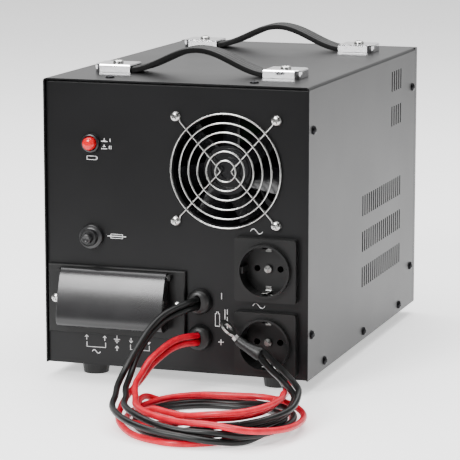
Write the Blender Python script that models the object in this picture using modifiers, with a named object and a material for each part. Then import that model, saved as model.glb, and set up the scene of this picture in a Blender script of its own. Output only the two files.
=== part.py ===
"""Power inverter: a sheet steel case with a fan, two mains sockets, a covered terminal
block, two strap handles and two pairs of battery cables.

Sizes are millimetres, turned to metres by MM. The case frame is an empty in the middle of
the rear panel's bottom edge: +X to the right along the panel, +Y into the case, +Z up.
"""
import math

import bmesh
import bpy
from mathutils import Matrix, Vector

MM = 0.001
GAP = 0.3                 # room left between touching pieces

# Case
CASE_W = 220.0
CASE_H = 230.0
CASE_D = 336.0
FRONT_T = 9.6             # thickness of the front panel
COVER_END = 326.0         # far edge of the cover
SHEET = 1.2
RECESS = 3.0              # the rear panel sits this far inside the cover
PANEL_BACK = RECESS + SHEET
FLANGE = 12.0             # depth of the rear panel's folded edges
TRAY_LIP = 14.0
PANEL_HALF = CASE_W / 2 - SHEET - GAP
FRONT_PROUD = 2.2         # how far the rocker stands out of the front panel
REAR_PROUD = 19.0         # how far the terminal cover stands out behind the case

# Feet
FOOT_H = 11.0
FOOT_X = 77.0
FOOT_Y = (26.0, 300.0)

# Vents: (first slot's y, slot count, pitch), with each row's lower edge in z
SLOT_W = 3.0
SLOT_H = 17.2
LONG_ROW = (156.5, 19, 6.7)
SHORT_ROW = (247.5, 5, 7.3)
LONG_ROW_Z = (45.3, 75.4, 105.5)
SHORT_ROW_Z = (169.3, 199.4)

# Handles
HANDLE_Y = {"front": 280.0, "rear": 65.0}
STRAP_W = 24.0
STRAP_T = 4.6
STRAP_END = 80.0
STRAP_FOOT = 60.0         # the arch starts here and ends in the caps
STRAP_RISE = 18.0
CAP_IN = 56.0
CAP_OUT = 87.0
CAP_W = 27.0
CAP_H = 6.6
CAP_CORNER = 5.0
HANDLE_SCREW_X = 71.0
HANDLE_HOLE_R = 2.9

# Fan
FAN_X = 42.0
FAN_Z = 162.3
FAN_SIZE = 92.0
FAN_HOLES = 82.5
FAN_BORE = 43.8
FAN_DEPTH = 25.0
FAN_HUB = 19.5
BLADES = 7
GUARD_RINGS = (45.0, 37.7, 30.4, 23.0, 15.6, 8.4)
GUARD_WIRE = 1.5

# Sockets
SOCKET_X = 76.0
SOCKET_Z = {"upper": 86.4, "lower": 27.9}
SOCKET_PLATE = 50.0
SOCKET_FACE = -4.0
COLLAR_FACE = -8.6
COLLAR_R = 21.0
WELL_R = 19.4
WELL_FLOOR = 6.4
SOCKET_BODY_R = 20.4
SOCKET_BODY_END = 24.0
PIN_X = 9.5
PIN_R = 2.6

# Push button for the charging current, and the circuit breaker
CONTROL_X = -70.5
CHARGE_Z = 179.4
BREAKER_Z = 104.4

# Terminal block
BLOCK_X = (-107.0, 9.0)
BLOCK_Z = (26.0, 81.0)
BLOCK_FACE = -1.0
COVER_X = (-94.0, -4.0)
HINGE_Y = -5.0
HINGE_Z = 76.4
STRIP_X = (-86.0, -12.0)
STRIP_Z = (44.0, 66.0)
BLOCK_SCREW_X = (-100.5, 2.5)
BLOCK_SCREW_Z = 53.5

# Front panel fittings
DISPLAY_Z = 168.0
DISPLAY_SIZE = (96.0, 46.0)
SWITCH_X = 74.0
SWITCH_Z = 42.0
SWITCH_SIZE = (19.2, 13.2)

# Inside
CORE_X, CORE_Y = -32.0, 170.0
CORE_R, CORE_SECTION = 49.0, 24.0
BOARD_X = 96.0

# Cables
GROMMET_X = 20.5
GROMMET_Z = {"black": 57.6, "red": 28.7}
CABLE_D = 5.0
CABLE_SPACING = 5.5
CABLE_POINTS = 80
GROMMET_NECK = 8.0
GROMMET_SLOT_R = 3.3      # round ends of the slot that holds the two cables
COIL_X, COIL_Y = 66.0, -117.0
SLEEVE_LONG_R = 5.7        # half the oval over two cables, the long way and the short
SLEEVE_SHORT_R = 3.5
SLEEVE_ROUND_R = 4.1       # over the lug
LUG_HOLE_R = 4.2
LUG_EYE_R = 8.0
LUG_T = 1.8
LUG_REACH = 12.5          # from the sleeve to the eye's centre


# ---------------------------------------------------------------- scene and helpers

for old in list(bpy.data.objects):
    bpy.data.objects.remove(old, do_unlink=True)


def new_collection(name):
    made = bpy.data.collections.new(name)
    bpy.context.scene.collection.children.link(made)
    return made


PARTS = new_collection("power_inverter")
CUTTERS = new_collection("cutters")

case_frame = bpy.data.objects.new("case_frame", None)
case_frame.location = (0, (REAR_PROUD - CASE_D - FRONT_PROUD) / 2 * MM, FOOT_H * MM)
PARTS.objects.link(case_frame)


def material(name, colour, roughness, metallic=0.0):
    """A Principled material; colour is linear red, green and blue."""
    made = bpy.data.materials.new(name)
    made.use_nodes = True
    shader = made.node_tree.nodes["Principled BSDF"]
    shader.inputs["Base Color"].default_value = (*colour, 1.0)
    shader.inputs["Roughness"].default_value = roughness
    shader.inputs["Metallic"].default_value = metallic
    return made


POWDER_COAT = ("case_paint", (0.012, 0.012, 0.013), 0.42)
BLACK_PLASTIC = ("black_plastic", (0.010, 0.010, 0.010), 0.45)
BLACK_RUBBER = ("black_rubber", (0.012, 0.012, 0.012), 0.75)
CHROME = ("chrome", (0.80, 0.80, 0.80), 0.12, 1.0)
STEEL = ("zinc_steel", (0.60, 0.60, 0.58), 0.30, 1.0)
RED_PLASTIC = ("red_plastic", (0.80, 0.01, 0.02), 0.25)
RED_CABLE = ("red_cable", (0.78, 0.00, 0.03), 0.40)
BLACK_CABLE = ("black_cable", (0.020, 0.021, 0.021), 0.45)
COPPER_WINDING = ("winding", (0.42, 0.13, 0.04), 0.40)
BOARD_GREEN = ("circuit_board", (0.01, 0.10, 0.03), 0.50)
ALUMINIUM = ("aluminium", (0.60, 0.60, 0.61), 0.40, 1.0)
LENS = ("display_glass", (0.01, 0.02, 0.03), 0.08)


def point(x, y, z):
    return Vector((x, y, z)) * MM


def add_object(name, mesh_data, finish, origin=(0, 0, 0)):
    """Make one piece from a bmesh in case coordinates, with its origin where asked."""
    bmesh.ops.translate(mesh_data, verts=mesh_data.verts, vec=-point(*origin))
    mesh = bpy.data.meshes.new(name)
    mesh_data.to_mesh(mesh)
    mesh_data.free()
    mesh.shade_smooth()
    mesh.set_sharp_from_angle(angle=math.radians(35))
    piece = bpy.data.objects.new(name, mesh)
    piece.location = point(*origin)
    piece.parent = case_frame
    piece.data.materials.append(material(name, *finish[1:]))
    PARTS.objects.link(piece)
    return piece


def boolean(piece, mesh_data, operation):
    """Cut or join a bmesh, in case coordinates, with a piece."""
    name = f"{piece.name}_{operation.lower()}_{len(piece.modifiers)}"
    mesh = bpy.data.meshes.new(name)
    mesh_data.to_mesh(mesh)
    mesh_data.free()
    tool = bpy.data.objects.new(name, mesh)
    tool.parent = case_frame
    tool.hide_render = True
    tool.display_type = "WIRE"
    CUTTERS.objects.link(tool)
    change = piece.modifiers.new(name, "BOOLEAN")
    change.operation = operation
    change.solver = "EXACT"
    change.object = tool
    return piece


def cut(piece, mesh_data):
    return boolean(piece, mesh_data, "DIFFERENCE")


def join(piece, mesh_data):
    return boolean(piece, mesh_data, "UNION")


def box(low, high, into=None):
    """A box between two corners."""
    target = into or bmesh.new()
    middle = (point(*low) + point(*high)) / 2
    size = point(*high) - point(*low)
    place = Matrix.Translation(middle) @ Matrix.Diagonal((*size, 1.0))
    bmesh.ops.create_cube(target, size=1.0, matrix=place)
    return target


def rod(start, end, radius, sides=24, end_radius=None, into=None):
    """A cylinder or cone between two points."""
    target = into or bmesh.new()
    first = point(*start)
    along = point(*end) - first
    turn = along.to_track_quat("Z", "Y").to_matrix().to_4x4()
    place = Matrix.Translation(first + along / 2) @ turn
    tip = radius if end_radius is None else end_radius
    bmesh.ops.create_cone(target, cap_ends=True, segments=sides, radius1=radius * MM,
                          radius2=tip * MM, depth=along.length, matrix=place)
    return target


def turned(profile, centre, axis, sides=24, into=None):
    """A closed turned shape: profile is (radius, distance along the axis) points."""
    target = into or bmesh.new()
    part = bmesh.new()
    corners = [part.verts.new(Vector((radius, 0, along)) * MM) for radius, along in profile]
    edges = [part.edges.new(pair) for pair in zip(corners, corners[1:])]
    bmesh.ops.spin(part, geom=corners + edges, cent=(0, 0, 0), axis=(0, 0, 1),
                   angle=math.tau, steps=sides, use_merge=True)
    bmesh.ops.remove_doubles(part, verts=part.verts, dist=1e-7)
    bmesh.ops.recalc_face_normals(part, faces=part.faces)
    turn = Vector(axis).to_track_quat("Z", "Y").to_matrix().to_4x4()
    bmesh.ops.transform(part, matrix=Matrix.Translation(point(*centre)) @ turn,
                        verts=part.verts)
    held = bpy.data.meshes.new("turned")
    part.to_mesh(held)
    part.free()
    target.from_mesh(held)
    bpy.data.meshes.remove(held)
    return target


def turned_y(profile, x, z, sides=24, into=None):
    """A turned shape on an axis along Y: profile is (radius, y) points."""
    return turned(profile, (x, 0, z), (0, 1, 0), sides, into)


def prism(outline, axis, low, high):
    """A flat outline pushed along an axis: points are the two other coordinates."""
    target = bmesh.new()
    slot = "XYZ".index(axis)
    corners = []
    for first, second in outline:
        place = [first, second]
        place.insert(slot, low)
        corners.append(target.verts.new(point(*place)))
    face = target.faces.new(corners)
    grown = bmesh.ops.extrude_face_region(target, geom=[face])
    moved = [item for item in grown["geom"] if isinstance(item, bmesh.types.BMVert)]
    step = [0, 0, 0]
    step[slot] = high - low
    bmesh.ops.translate(target, verts=moved, vec=point(*step))
    bmesh.ops.recalc_face_normals(target, faces=target.faces)
    return target


def faces_towards(mesh_data, *directions):
    mesh_data.normal_update()
    return [face for face in mesh_data.faces
            if any(face.normal.dot(Vector(direction)) > 0.9 for direction in directions)]


def edges_at(mesh_data, test):
    return [edge for edge in mesh_data.edges if all(test(vert.co / MM) for vert in edge.verts)]


def round_edges(mesh_data, edges, width, segments=2):
    bmesh.ops.bevel(mesh_data, geom=edges, offset=width * MM, segments=segments,
                    profile=0.5, affect="EDGES", material=-1, clamp_overlap=True)
    return mesh_data


def folded_sheet(piece, thickness=SHEET):
    """Give an open surface its thickness, inwards."""
    wall = piece.modifiers.new("wall", "SOLIDIFY")
    wall.thickness = thickness * MM
    wall.offset = -1.0
    wall.use_even_offset = True
    return piece


def near(value, target):
    return abs(value - target) < 0.01


# ---------------------------------------------------------------- case

def make_top_cover():
    """The folded sheet over the top and both sides, with its rows of vent slots."""
    sheet = box((-CASE_W / 2, 0, 0), (CASE_W / 2, COVER_END, CASE_H))
    open_sides = faces_towards(sheet, (0, 0, -1), (0, 1, 0), (0, -1, 0))
    bmesh.ops.delete(sheet, geom=open_sides, context="FACES")
    bends = edges_at(sheet, lambda co: near(co.z, CASE_H))
    bends = [edge for edge in bends if near(edge.verts[0].co.x, edge.verts[1].co.x)]
    round_edges(sheet, bends, 2.4, 3)
    cover = folded_sheet(add_object("top_cover", sheet, POWDER_COAT))
    slots = bmesh.new()
    rows = [(LONG_ROW, low) for low in LONG_ROW_Z] + [(SHORT_ROW, low) for low in SHORT_ROW_Z]
    for (first, count, pitch), low in rows:
        for index in range(count):
            middle = first + index * pitch
            box((-CASE_W, middle - SLOT_W / 2, low), (CASE_W, middle + SLOT_W / 2, low + SLOT_H),
                into=slots)
    cut(cover, slots)
    holes = bmesh.new()
    for y in HANDLE_Y.values():
        for x in (-HANDLE_SCREW_X, HANDLE_SCREW_X):
            rod((x, y, CASE_H - 8), (x, y, CASE_H + 8), HANDLE_HOLE_R, 12, into=holes)
    cut(cover, holes)


def make_base_tray():
    """The floor of the case, with a lip up each side behind the cover."""
    start = RECESS + FLANGE + GAP
    sheet = box((-PANEL_HALF, start, 0), (PANEL_HALF, COVER_END - GAP, TRAY_LIP))
    open_sides = faces_towards(sheet, (0, 0, 1), (0, 1, 0), (0, -1, 0))
    bmesh.ops.delete(sheet, geom=open_sides, context="FACES")
    folded_sheet(add_object("base_tray", sheet, POWDER_COAT))


def make_rear_panel():
    """The recessed rear panel: a shallow folded tray with an opening for each fitting."""
    top = CASE_H - SHEET - GAP
    sheet = box((-PANEL_HALF, RECESS, 0), (PANEL_HALF, RECESS + FLANGE, top))
    bmesh.ops.delete(sheet, geom=faces_towards(sheet, (0, 1, 0)), context="FACES")
    corners = edges_at(sheet, lambda co: near(co.z, top) and near(abs(co.x), PANEL_HALF))
    round_edges(sheet, corners, 1.8, 2)
    panel = folded_sheet(add_object("rear_panel", sheet, POWDER_COAT))
    holes = bmesh.new()
    through = (RECESS - 4, PANEL_BACK + 2)

    def hole(x, z, radius, sides):
        rod((x, through[0], z), (x, through[1], z), radius, sides, into=holes)

    hole(FAN_X, FAN_Z, FAN_BORE, 40)
    for x, z in fan_corners():
        hole(x, z, 2.4, 10)
    for z in SOCKET_Z.values():
        hole(SOCKET_X, z, SOCKET_BODY_R + 0.5, 28)
    hole(CONTROL_X, CHARGE_Z, 6.5, 20)
    hole(CONTROL_X, BREAKER_Z, 6.2, 20)
    for x in BLOCK_SCREW_X:
        hole(x, BLOCK_SCREW_Z, 2.0, 10)
    for z in GROMMET_Z.values():
        hole(GROMMET_X, z, GROMMET_NECK + GAP, 24)
    cut(panel, holes)


def make_front_panel():
    """The display panel that closes the far end, open at its back."""
    back = CASE_D - FRONT_T
    sheet = box((-CASE_W / 2, back, 0), (CASE_W / 2, CASE_D, CASE_H))
    bmesh.ops.delete(sheet, geom=faces_towards(sheet, (0, -1, 0)), context="FACES")
    round_edges(sheet, edges_at(sheet, lambda co: near(co.y, CASE_D)), 3.0, 3)
    panel = folded_sheet(add_object("front_panel", sheet, POWDER_COAT), 2.0)
    half_w, half_h = DISPLAY_SIZE[0] / 2, DISPLAY_SIZE[1] / 2
    holes = box((-half_w, back, DISPLAY_Z - half_h), (half_w, CASE_D + 5, DISPLAY_Z + half_h))
    half_w, half_h = SWITCH_SIZE[0] / 2, SWITCH_SIZE[1] / 2
    box((SWITCH_X - half_w, back, SWITCH_Z - half_h),
        (SWITCH_X + half_w, CASE_D + 5, SWITCH_Z + half_h), into=holes)
    cut(panel, holes)


def make_feet():
    """Four tapered rubber feet with a screw recess underneath."""
    top = -GAP
    profile = [(0, top), (11.4, top), (11.4, top - 2), (10.2, -FOOT_H), (4.5, -FOOT_H),
               (4.5, -FOOT_H + 4), (0, -FOOT_H + 4)]
    for y, end in zip(FOOT_Y, ("rear", "front")):
        for x, side in ((-FOOT_X, "left"), (FOOT_X, "right")):
            foot = turned(profile, (x, y, 0), (0, 0, 1), 20)
            add_object(f"foot_{end}_{side}", foot, BLACK_RUBBER, (x, y, 0))


# ---------------------------------------------------------------- handles

def strap_rise(x):
    """Height of the strap's arch above its flat ends."""
    if abs(x) >= STRAP_FOOT:
        return 0.0
    return STRAP_RISE * math.cos(math.pi * x / (2 * STRAP_FOOT)) ** 2


def make_handle(end, y):
    """A rubber strap with a chromed cap and a screw at each end."""
    low = CASE_H + GAP
    steps = 16
    stations = [-STRAP_END]
    stations += [STRAP_FOOT * (2 * index / steps - 1) for index in range(steps + 1)]
    stations += [STRAP_END]
    lower = [(x, low + strap_rise(x)) for x in stations]
    upper = [(x, z + STRAP_T) for x, z in reversed(lower)]
    strap_mesh = prism(lower + upper, "Y", y - STRAP_W / 2, y + STRAP_W / 2)
    strap = add_object(f"handle_strap_{end}", strap_mesh, BLACK_RUBBER)
    holes = bmesh.new()
    for x in (-HANDLE_SCREW_X, HANDLE_SCREW_X):
        rod((x, y, CASE_H - 3), (x, y, CASE_H + 12), HANDLE_HOLE_R, 12, into=holes)
    cut(strap, holes)
    for side, sign in (("left", -1), ("right", 1)):
        near_x, far_x = sorted((sign * CAP_IN, sign * CAP_OUT))
        cap = box((near_x, y - CAP_W / 2, low), (far_x, y + CAP_W / 2, low + CAP_H))
        outer = edges_at(cap, lambda co: near(co.x, sign * CAP_OUT))
        corners = [edge for edge in outer
                   if not near(edge.verts[0].co.z / MM, edge.verts[1].co.z / MM)]
        round_edges(cap, corners, CAP_CORNER, 4)
        round_edges(cap, edges_at(cap, lambda co: near(co.z, low + CAP_H)), 1.2, 2)
        made = add_object(f"handle_cap_{end}_{side}", cap, CHROME)
        near_x, far_x = sorted((sign * (CAP_IN - 3), sign * (STRAP_END + GAP)))
        reach = STRAP_W / 2 + GAP
        cut(made, box((near_x, y - reach, low - 1), (far_x, y + reach, low + STRAP_T + 2 * GAP)))
        x = sign * HANDLE_SCREW_X
        cut(made, rod((x, y, low), (x, y, low + 12), HANDLE_HOLE_R, 12))
        head = low + CAP_H + GAP
        profile = [(0, head + 2.4), (2.6, head + 2.0), (4.0, head + 1.1), (4.6, head), (2.5, head),
                   (2.5, CASE_H - 6), (0, CASE_H - 6)]
        screw = turned(profile, (x, y, 0), (0, 0, 1), 12)
        add_object(f"handle_screw_{end}_{side}", screw, STEEL, (x, y, low))


# ---------------------------------------------------------------- fan

def fan_corners():
    half = FAN_HOLES / 2
    return [(FAN_X + sx * half, FAN_Z + sz * half) for sx in (-1, 1) for sz in (-1, 1)]


def make_fan():
    """Frame, rotor, wire guard and the four screws that hold them to the panel."""
    near_face = PANEL_BACK + GAP
    far_face = near_face + FAN_DEPTH
    half = FAN_SIZE / 2
    frame_mesh = box((FAN_X - half, near_face, FAN_Z - half), (FAN_X + half, far_face, FAN_Z + half))
    long_edges = [edge for edge in frame_mesh.edges
                  if abs((edge.verts[0].co - edge.verts[1].co).y) > 0.001]
    round_edges(frame_mesh, long_edges, 5.0, 2)
    frame = add_object("fan_frame", frame_mesh, BLACK_PLASTIC)
    bores = rod((FAN_X, near_face - 5, FAN_Z), (FAN_X, far_face + 5, FAN_Z), FAN_BORE, 40)
    for x, z in fan_corners():
        rod((x, near_face - 5, z), (x, far_face + 5, z), 2.4, 10, into=bores)
    cut(frame, bores)
    for angle in (45, 135):
        bar = box((-half + 1.5, far_face - 3, -2), (half - 1.5, far_face - 0.4, 2))
        turn = Matrix.Rotation(math.radians(angle), 4, "Y")
        bmesh.ops.transform(bar, matrix=Matrix.Translation(point(FAN_X, 0, FAN_Z)) @ turn,
                            verts=bar.verts)
        join(frame, bar)
    mount = rod((FAN_X, far_face - 3.6, FAN_Z), (FAN_X, far_face - 0.2, FAN_Z), 18.0, 24)
    join(frame, mount)

    hub_near, hub_far = near_face + 2.0, far_face - 4.4
    centre = (FAN_X, (hub_near + hub_far) / 2, FAN_Z)
    hub = rod((FAN_X, hub_near, FAN_Z), (FAN_X, hub_far, FAN_Z), FAN_HUB, 28)
    rotor = add_object("fan_rotor", hub, BLACK_PLASTIC, centre)
    blades = bmesh.new()
    for index in range(BLADES):
        blade = box((-1.0, -11.5, FAN_HUB - 2), (1.0, 11.5, FAN_BORE - 2.0))
        twist = Matrix.Rotation(math.radians(48), 4, "Z")
        turn = Matrix.Rotation(math.tau * index / BLADES, 4, "Y")
        place = Matrix.Translation(point(*centre))
        bmesh.ops.transform(blade, matrix=place @ turn @ twist, verts=blade.verts)
        held = bpy.data.meshes.new("blade")
        blade.to_mesh(held)
        blade.free()
        blades.from_mesh(held)
        bpy.data.meshes.remove(held)
    join(rotor, blades)

    ring_far, ring_near = RECESS - GAP - GUARD_WIRE + 0.3, RECESS - GAP - 2 * GUARD_WIRE + 0.3
    rings = bmesh.new()
    for radius in GUARD_RINGS:
        out, inn = radius + GUARD_WIRE / 2, radius - GUARD_WIRE / 2
        profile = [(out, ring_far), (out, ring_near), (inn, ring_near), (inn, ring_far),
                   (out, ring_far)]
        turned_y(profile, FAN_X, FAN_Z, 28 if radius > 20 else 16, into=rings)
    arm_near, arm_far = RECESS - GAP - GUARD_WIRE, RECESS - GAP
    wires = bmesh.new()
    for x, z in fan_corners():
        side = math.copysign(1, x - FAN_X)
        rise = math.copysign(1, z - FAN_Z)
        bend = Vector((FAN_X + side * 5.4, FAN_Z + rise * 1.5))
        arm = Vector((x, z)) - bend
        across = Vector((-arm.y, arm.x)).normalized() * GUARD_WIRE / 2
        ends = (bend + across, bend - across, Vector((x, z)) - across, Vector((x, z)) + across)
        outline = [tuple(end) for end in ends]
        bar = prism(outline, "Y", arm_near, arm_far)
        held = bpy.data.meshes.new("arm")
        bar.to_mesh(held)
        bar.free()
        wires.from_mesh(held)
        bpy.data.meshes.remove(held)
    guard = add_object("fan_guard", rings, STEEL)
    join(guard, wires)
    eyes = bmesh.new()
    for x, z in fan_corners():
        rod((x, arm_near - 0.1, z), (x, arm_far, z), 4.4, 14, into=eyes)
    join(guard, eyes)
    eye_holes = bmesh.new()
    for x, z in fan_corners():
        rod((x, arm_near - 2, z), (x, arm_far + 2, z), 2.3, 10, into=eye_holes)
    cut(guard, eye_holes)

    head = arm_near - 0.1 - GAP
    for index, (x, z) in enumerate(fan_corners()):
        profile = [(0, 16), (1.9, 16), (1.9, head), (3.8, head), (3.6, head - 1.2), (2.4, head - 2.0),
                   (0, head - 2.2)]
        add_object(f"fan_screw_{index + 1}", turned_y(profile, x, z, 12), STEEL, (x, head, z))


# ---------------------------------------------------------------- sockets

def make_socket(level, z):
    """A round earthed mains socket with its earth clip and the screw that holds it."""
    x = SOCKET_X
    half = SOCKET_PLATE / 2
    plate = box((x - half, SOCKET_FACE, z - half), (x + half, RECESS - GAP, z + half))
    corners = [edge for edge in plate.edges
               if abs((edge.verts[0].co - edge.verts[1].co).y) > 0.001]
    round_edges(plate, corners, 2.0, 2)
    socket = add_object(f"socket_{level}", plate, BLACK_PLASTIC)
    well = rod((x, COLLAR_FACE - 5, z), (x, WELL_FLOOR, z), WELL_R, 32)
    body = [(0, SOCKET_BODY_END), (SOCKET_BODY_R, SOCKET_BODY_END), (SOCKET_BODY_R, 1.0),
            (COLLAR_R, 1.0), (COLLAR_R, COLLAR_FACE), (0, COLLAR_FACE)]
    join(socket, turned_y(body, x, z, 32))
    cut(socket, well)
    ribs = bmesh.new()
    for side in (-1, 1):
        inner, outer = sorted((x + side * (WELL_R - 2.2), x + side * (WELL_R + 0.6)))
        box((inner, COLLAR_FACE + 2.5, z - 2.6), (outer, WELL_FLOOR + 0.6, z + 2.6), into=ribs)
    join(socket, ribs)
    holes = rod((x, WELL_FLOOR - 3, z), (x, WELL_FLOOR + 12, z), 1.9, 10)
    for side in (-1, 1):
        pin = x + side * PIN_X
        rod((pin, WELL_FLOOR - 3, z), (pin, WELL_FLOOR + 13, z), PIN_R, 12, into=holes)
    cut(socket, holes)

    reach, wide, thick = WELL_R - GAP, 2.5, 0.8
    floor = WELL_FLOOR - GAP
    lip = COLLAR_FACE + 4.0
    outline = [(lip, z + reach), (floor, z + reach), (floor, z - reach), (lip, z - reach),
               (lip, z - reach + thick), (floor - thick, z - reach + thick),
               (floor - thick, z + reach - thick), (lip, z + reach - thick)]
    clip = add_object(f"earth_clip_{level}", prism(outline, "X", x - wide, x + wide), STEEL)
    cut(clip, rod((x, floor - 3, z), (x, floor + 3, z), 2.2, 12))
    head = floor - thick - GAP
    profile = [(0, WELL_FLOOR + 10), (1.6, WELL_FLOOR + 10), (1.6, head), (3.2, head),
               (3.0, head - 1.4), (0, head - 1.9)]
    screw = turned_y(profile, x, z, 12)
    add_object(f"socket_screw_{level}", screw, STEEL, (x, head, z))


# ---------------------------------------------------------------- button and breaker

def make_charge_button():
    """The latching push button: a black bushing in the panel and a red dome in it."""
    x, z = CONTROL_X, CHARGE_Z
    profile = [(5.7, 0.4), (6.3, -0.6), (7.4, 0.2), (7.4, RECESS - GAP), (6.2, RECESS - GAP),
               (6.2, 22), (0, 22), (0, 16), (5.7, 16), (5.7, 0.4)]
    add_object("charge_switch_body", turned_y(profile, x, z, 20), BLACK_PLASTIC)
    dome = [(0, 12.5), (5.3, 12.5), (5.3, -2.4), (4.7, -4.1), (3.0, -5.3), (0, -5.8)]
    add_object("charge_button", turned_y(dome, x, z, 20), RED_PLASTIC, (x, 0, z))


def make_breaker():
    """The resettable breaker: body behind the panel, dress nut and pop-out button."""
    x, z = CONTROL_X, BREAKER_Z
    barrel = [(4.3, -6.0), (5.8, -6.0), (5.8, 6), (0, 6), (0, 4.4), (4.3, 4.4), (4.3, -6.0)]
    body = add_object("breaker_body", turned_y(barrel, x, z, 20), BLACK_PLASTIC)
    join(body, box((x - 8, PANEL_BACK + GAP, z - 9), (x + 8, 34, z + 9)))
    cut(body, rod((x, -2, z), (x, 12, z), 4.3, 20))
    nut = [(6.1, -6.6), (6.8, -6.2), (6.8, -1.4), (9.7, -0.6), (9.7, RECESS - GAP),
           (6.1, RECESS - GAP), (6.1, -6.6)]
    add_object("breaker_nut", turned_y(nut, x, z, 20), BLACK_PLASTIC)
    button = [(0, 11.0), (4.0, 11.0), (4.0, -10.6), (3.3, -11.2), (1.8, -10.7), (0, -10.4)]
    add_object("breaker_button", turned_y(button, x, z, 20), BLACK_PLASTIC, (x, 0, z))


# ---------------------------------------------------------------- terminal block

def cover_profile(inset):
    """The flap's section as (y, z) points, moved inwards by inset."""
    outer = [(-3.6, 79.6), (-6.2, 79.8), (-9.6, 76.0), (-13.6, 66.0), (-17.0, 53.0),
             (-19.0, 41.0), (-18.8, 37.6), (-17.0, 35.0), (-13.6, 33.4)]
    if not inset:
        return outer
    moved = []
    for index, place in enumerate(outer):
        before = Vector(outer[max(index - 1, 0)])
        after = Vector(outer[min(index + 1, len(outer) - 1)])
        along = (after - before).normalized()
        moved.append((place[0] - along.y * inset, place[1] + along.x * inset))
    return moved


def make_terminal_block():
    """Base, barrier strip, hinged flap with its pin, and the two flange screws."""
    base_mesh = box((BLOCK_X[0], BLOCK_FACE, BLOCK_Z[0]), (BLOCK_X[1], RECESS - GAP, BLOCK_Z[1]))
    face_rim = edges_at(base_mesh, lambda co: near(co.y, BLOCK_FACE))
    round_edges(base_mesh, face_rim, 0.8, 1)
    base = add_object("terminal_base", base_mesh, BLACK_PLASTIC)
    ears = bmesh.new()
    for x in (COVER_X[0] - 2.6, COVER_X[1] + 0.4):
        box((x, HINGE_Y - 2.0, HINGE_Z - 2.2), (x + 2.2, BLOCK_FACE + 1, HINGE_Z + 2.2), into=ears)
    join(base, ears)
    holes = bmesh.new()
    for x in BLOCK_SCREW_X:
        rod((x, BLOCK_FACE - 3, BLOCK_SCREW_Z), (x, RECESS + 2, BLOCK_SCREW_Z), 2.2, 12, into=holes)
    cut(base, holes)
    pin_hole = rod((COVER_X[0] - 5, HINGE_Y, HINGE_Z), (COVER_X[1] + 5, HINGE_Y, HINGE_Z), 1.15, 12)
    cut(base, pin_hole)
    pin = rod((COVER_X[0] - 2.4, HINGE_Y, HINGE_Z), (COVER_X[1] + 2.4, HINGE_Y, HINGE_Z), 0.85, 12)
    add_object("terminal_hinge_pin", pin, STEEL)

    strip = add_object("terminal_strip", box((STRIP_X[0], -4.5, STRIP_Z[0]),
                                             (STRIP_X[1], BLOCK_FACE - GAP, STRIP_Z[1])),
                       BLACK_PLASTIC)
    fins = bmesh.new()
    count = 8
    pitch = (STRIP_X[1] - STRIP_X[0] - 2.0) / (count - 1)
    for index in range(count):
        x = STRIP_X[0] + index * pitch
        box((x, -8.4, STRIP_Z[0] - 1), (x + 2.0, -4.0, STRIP_Z[1] + 1), into=fins)
    join(strip, fins)

    outline = cover_profile(0.0) + list(reversed(cover_profile(1.6)))
    flap_mesh = prism(outline, "X", COVER_X[0], COVER_X[1])
    flap = add_object("terminal_cover", flap_mesh, BLACK_PLASTIC,
                      (sum(COVER_X) / 2, HINGE_Y, HINGE_Z))
    cheek_outline = [(-1.9, 73.0), (-3.0, 78.6), (-6.0, 78.9), (-9.2, 75.4), (-13.2, 65.6),
                     (-16.6, 52.8), (-18.4, 41.2), (-16.8, 35.6), (-13.6, 34.0), (-2.2, 34.0)]
    for low, high in ((COVER_X[0] + 0.2, COVER_X[0] + 1.9), (COVER_X[1] - 1.9, COVER_X[1] - 0.2)):
        join(flap, prism(cheek_outline, "X", low, high))
    cut(flap, rod((COVER_X[0] - 5, HINGE_Y, HINGE_Z), (COVER_X[1] + 5, HINGE_Y, HINGE_Z), 1.15, 12))

    for side, x in zip(("left", "right"), BLOCK_SCREW_X):
        head = BLOCK_FACE - GAP
        profile = [(0, 12), (1.7, 12), (1.7, head), (3.4, head), (3.2, head - 1.2),
                   (2.0, head - 2.0), (0, head - 2.2)]
        add_object(f"terminal_screw_{side}", turned_y(profile, x, BLOCK_SCREW_Z, 12), STEEL,
                   (x, head, BLOCK_SCREW_Z))


# ---------------------------------------------------------------- front panel fittings

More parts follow.
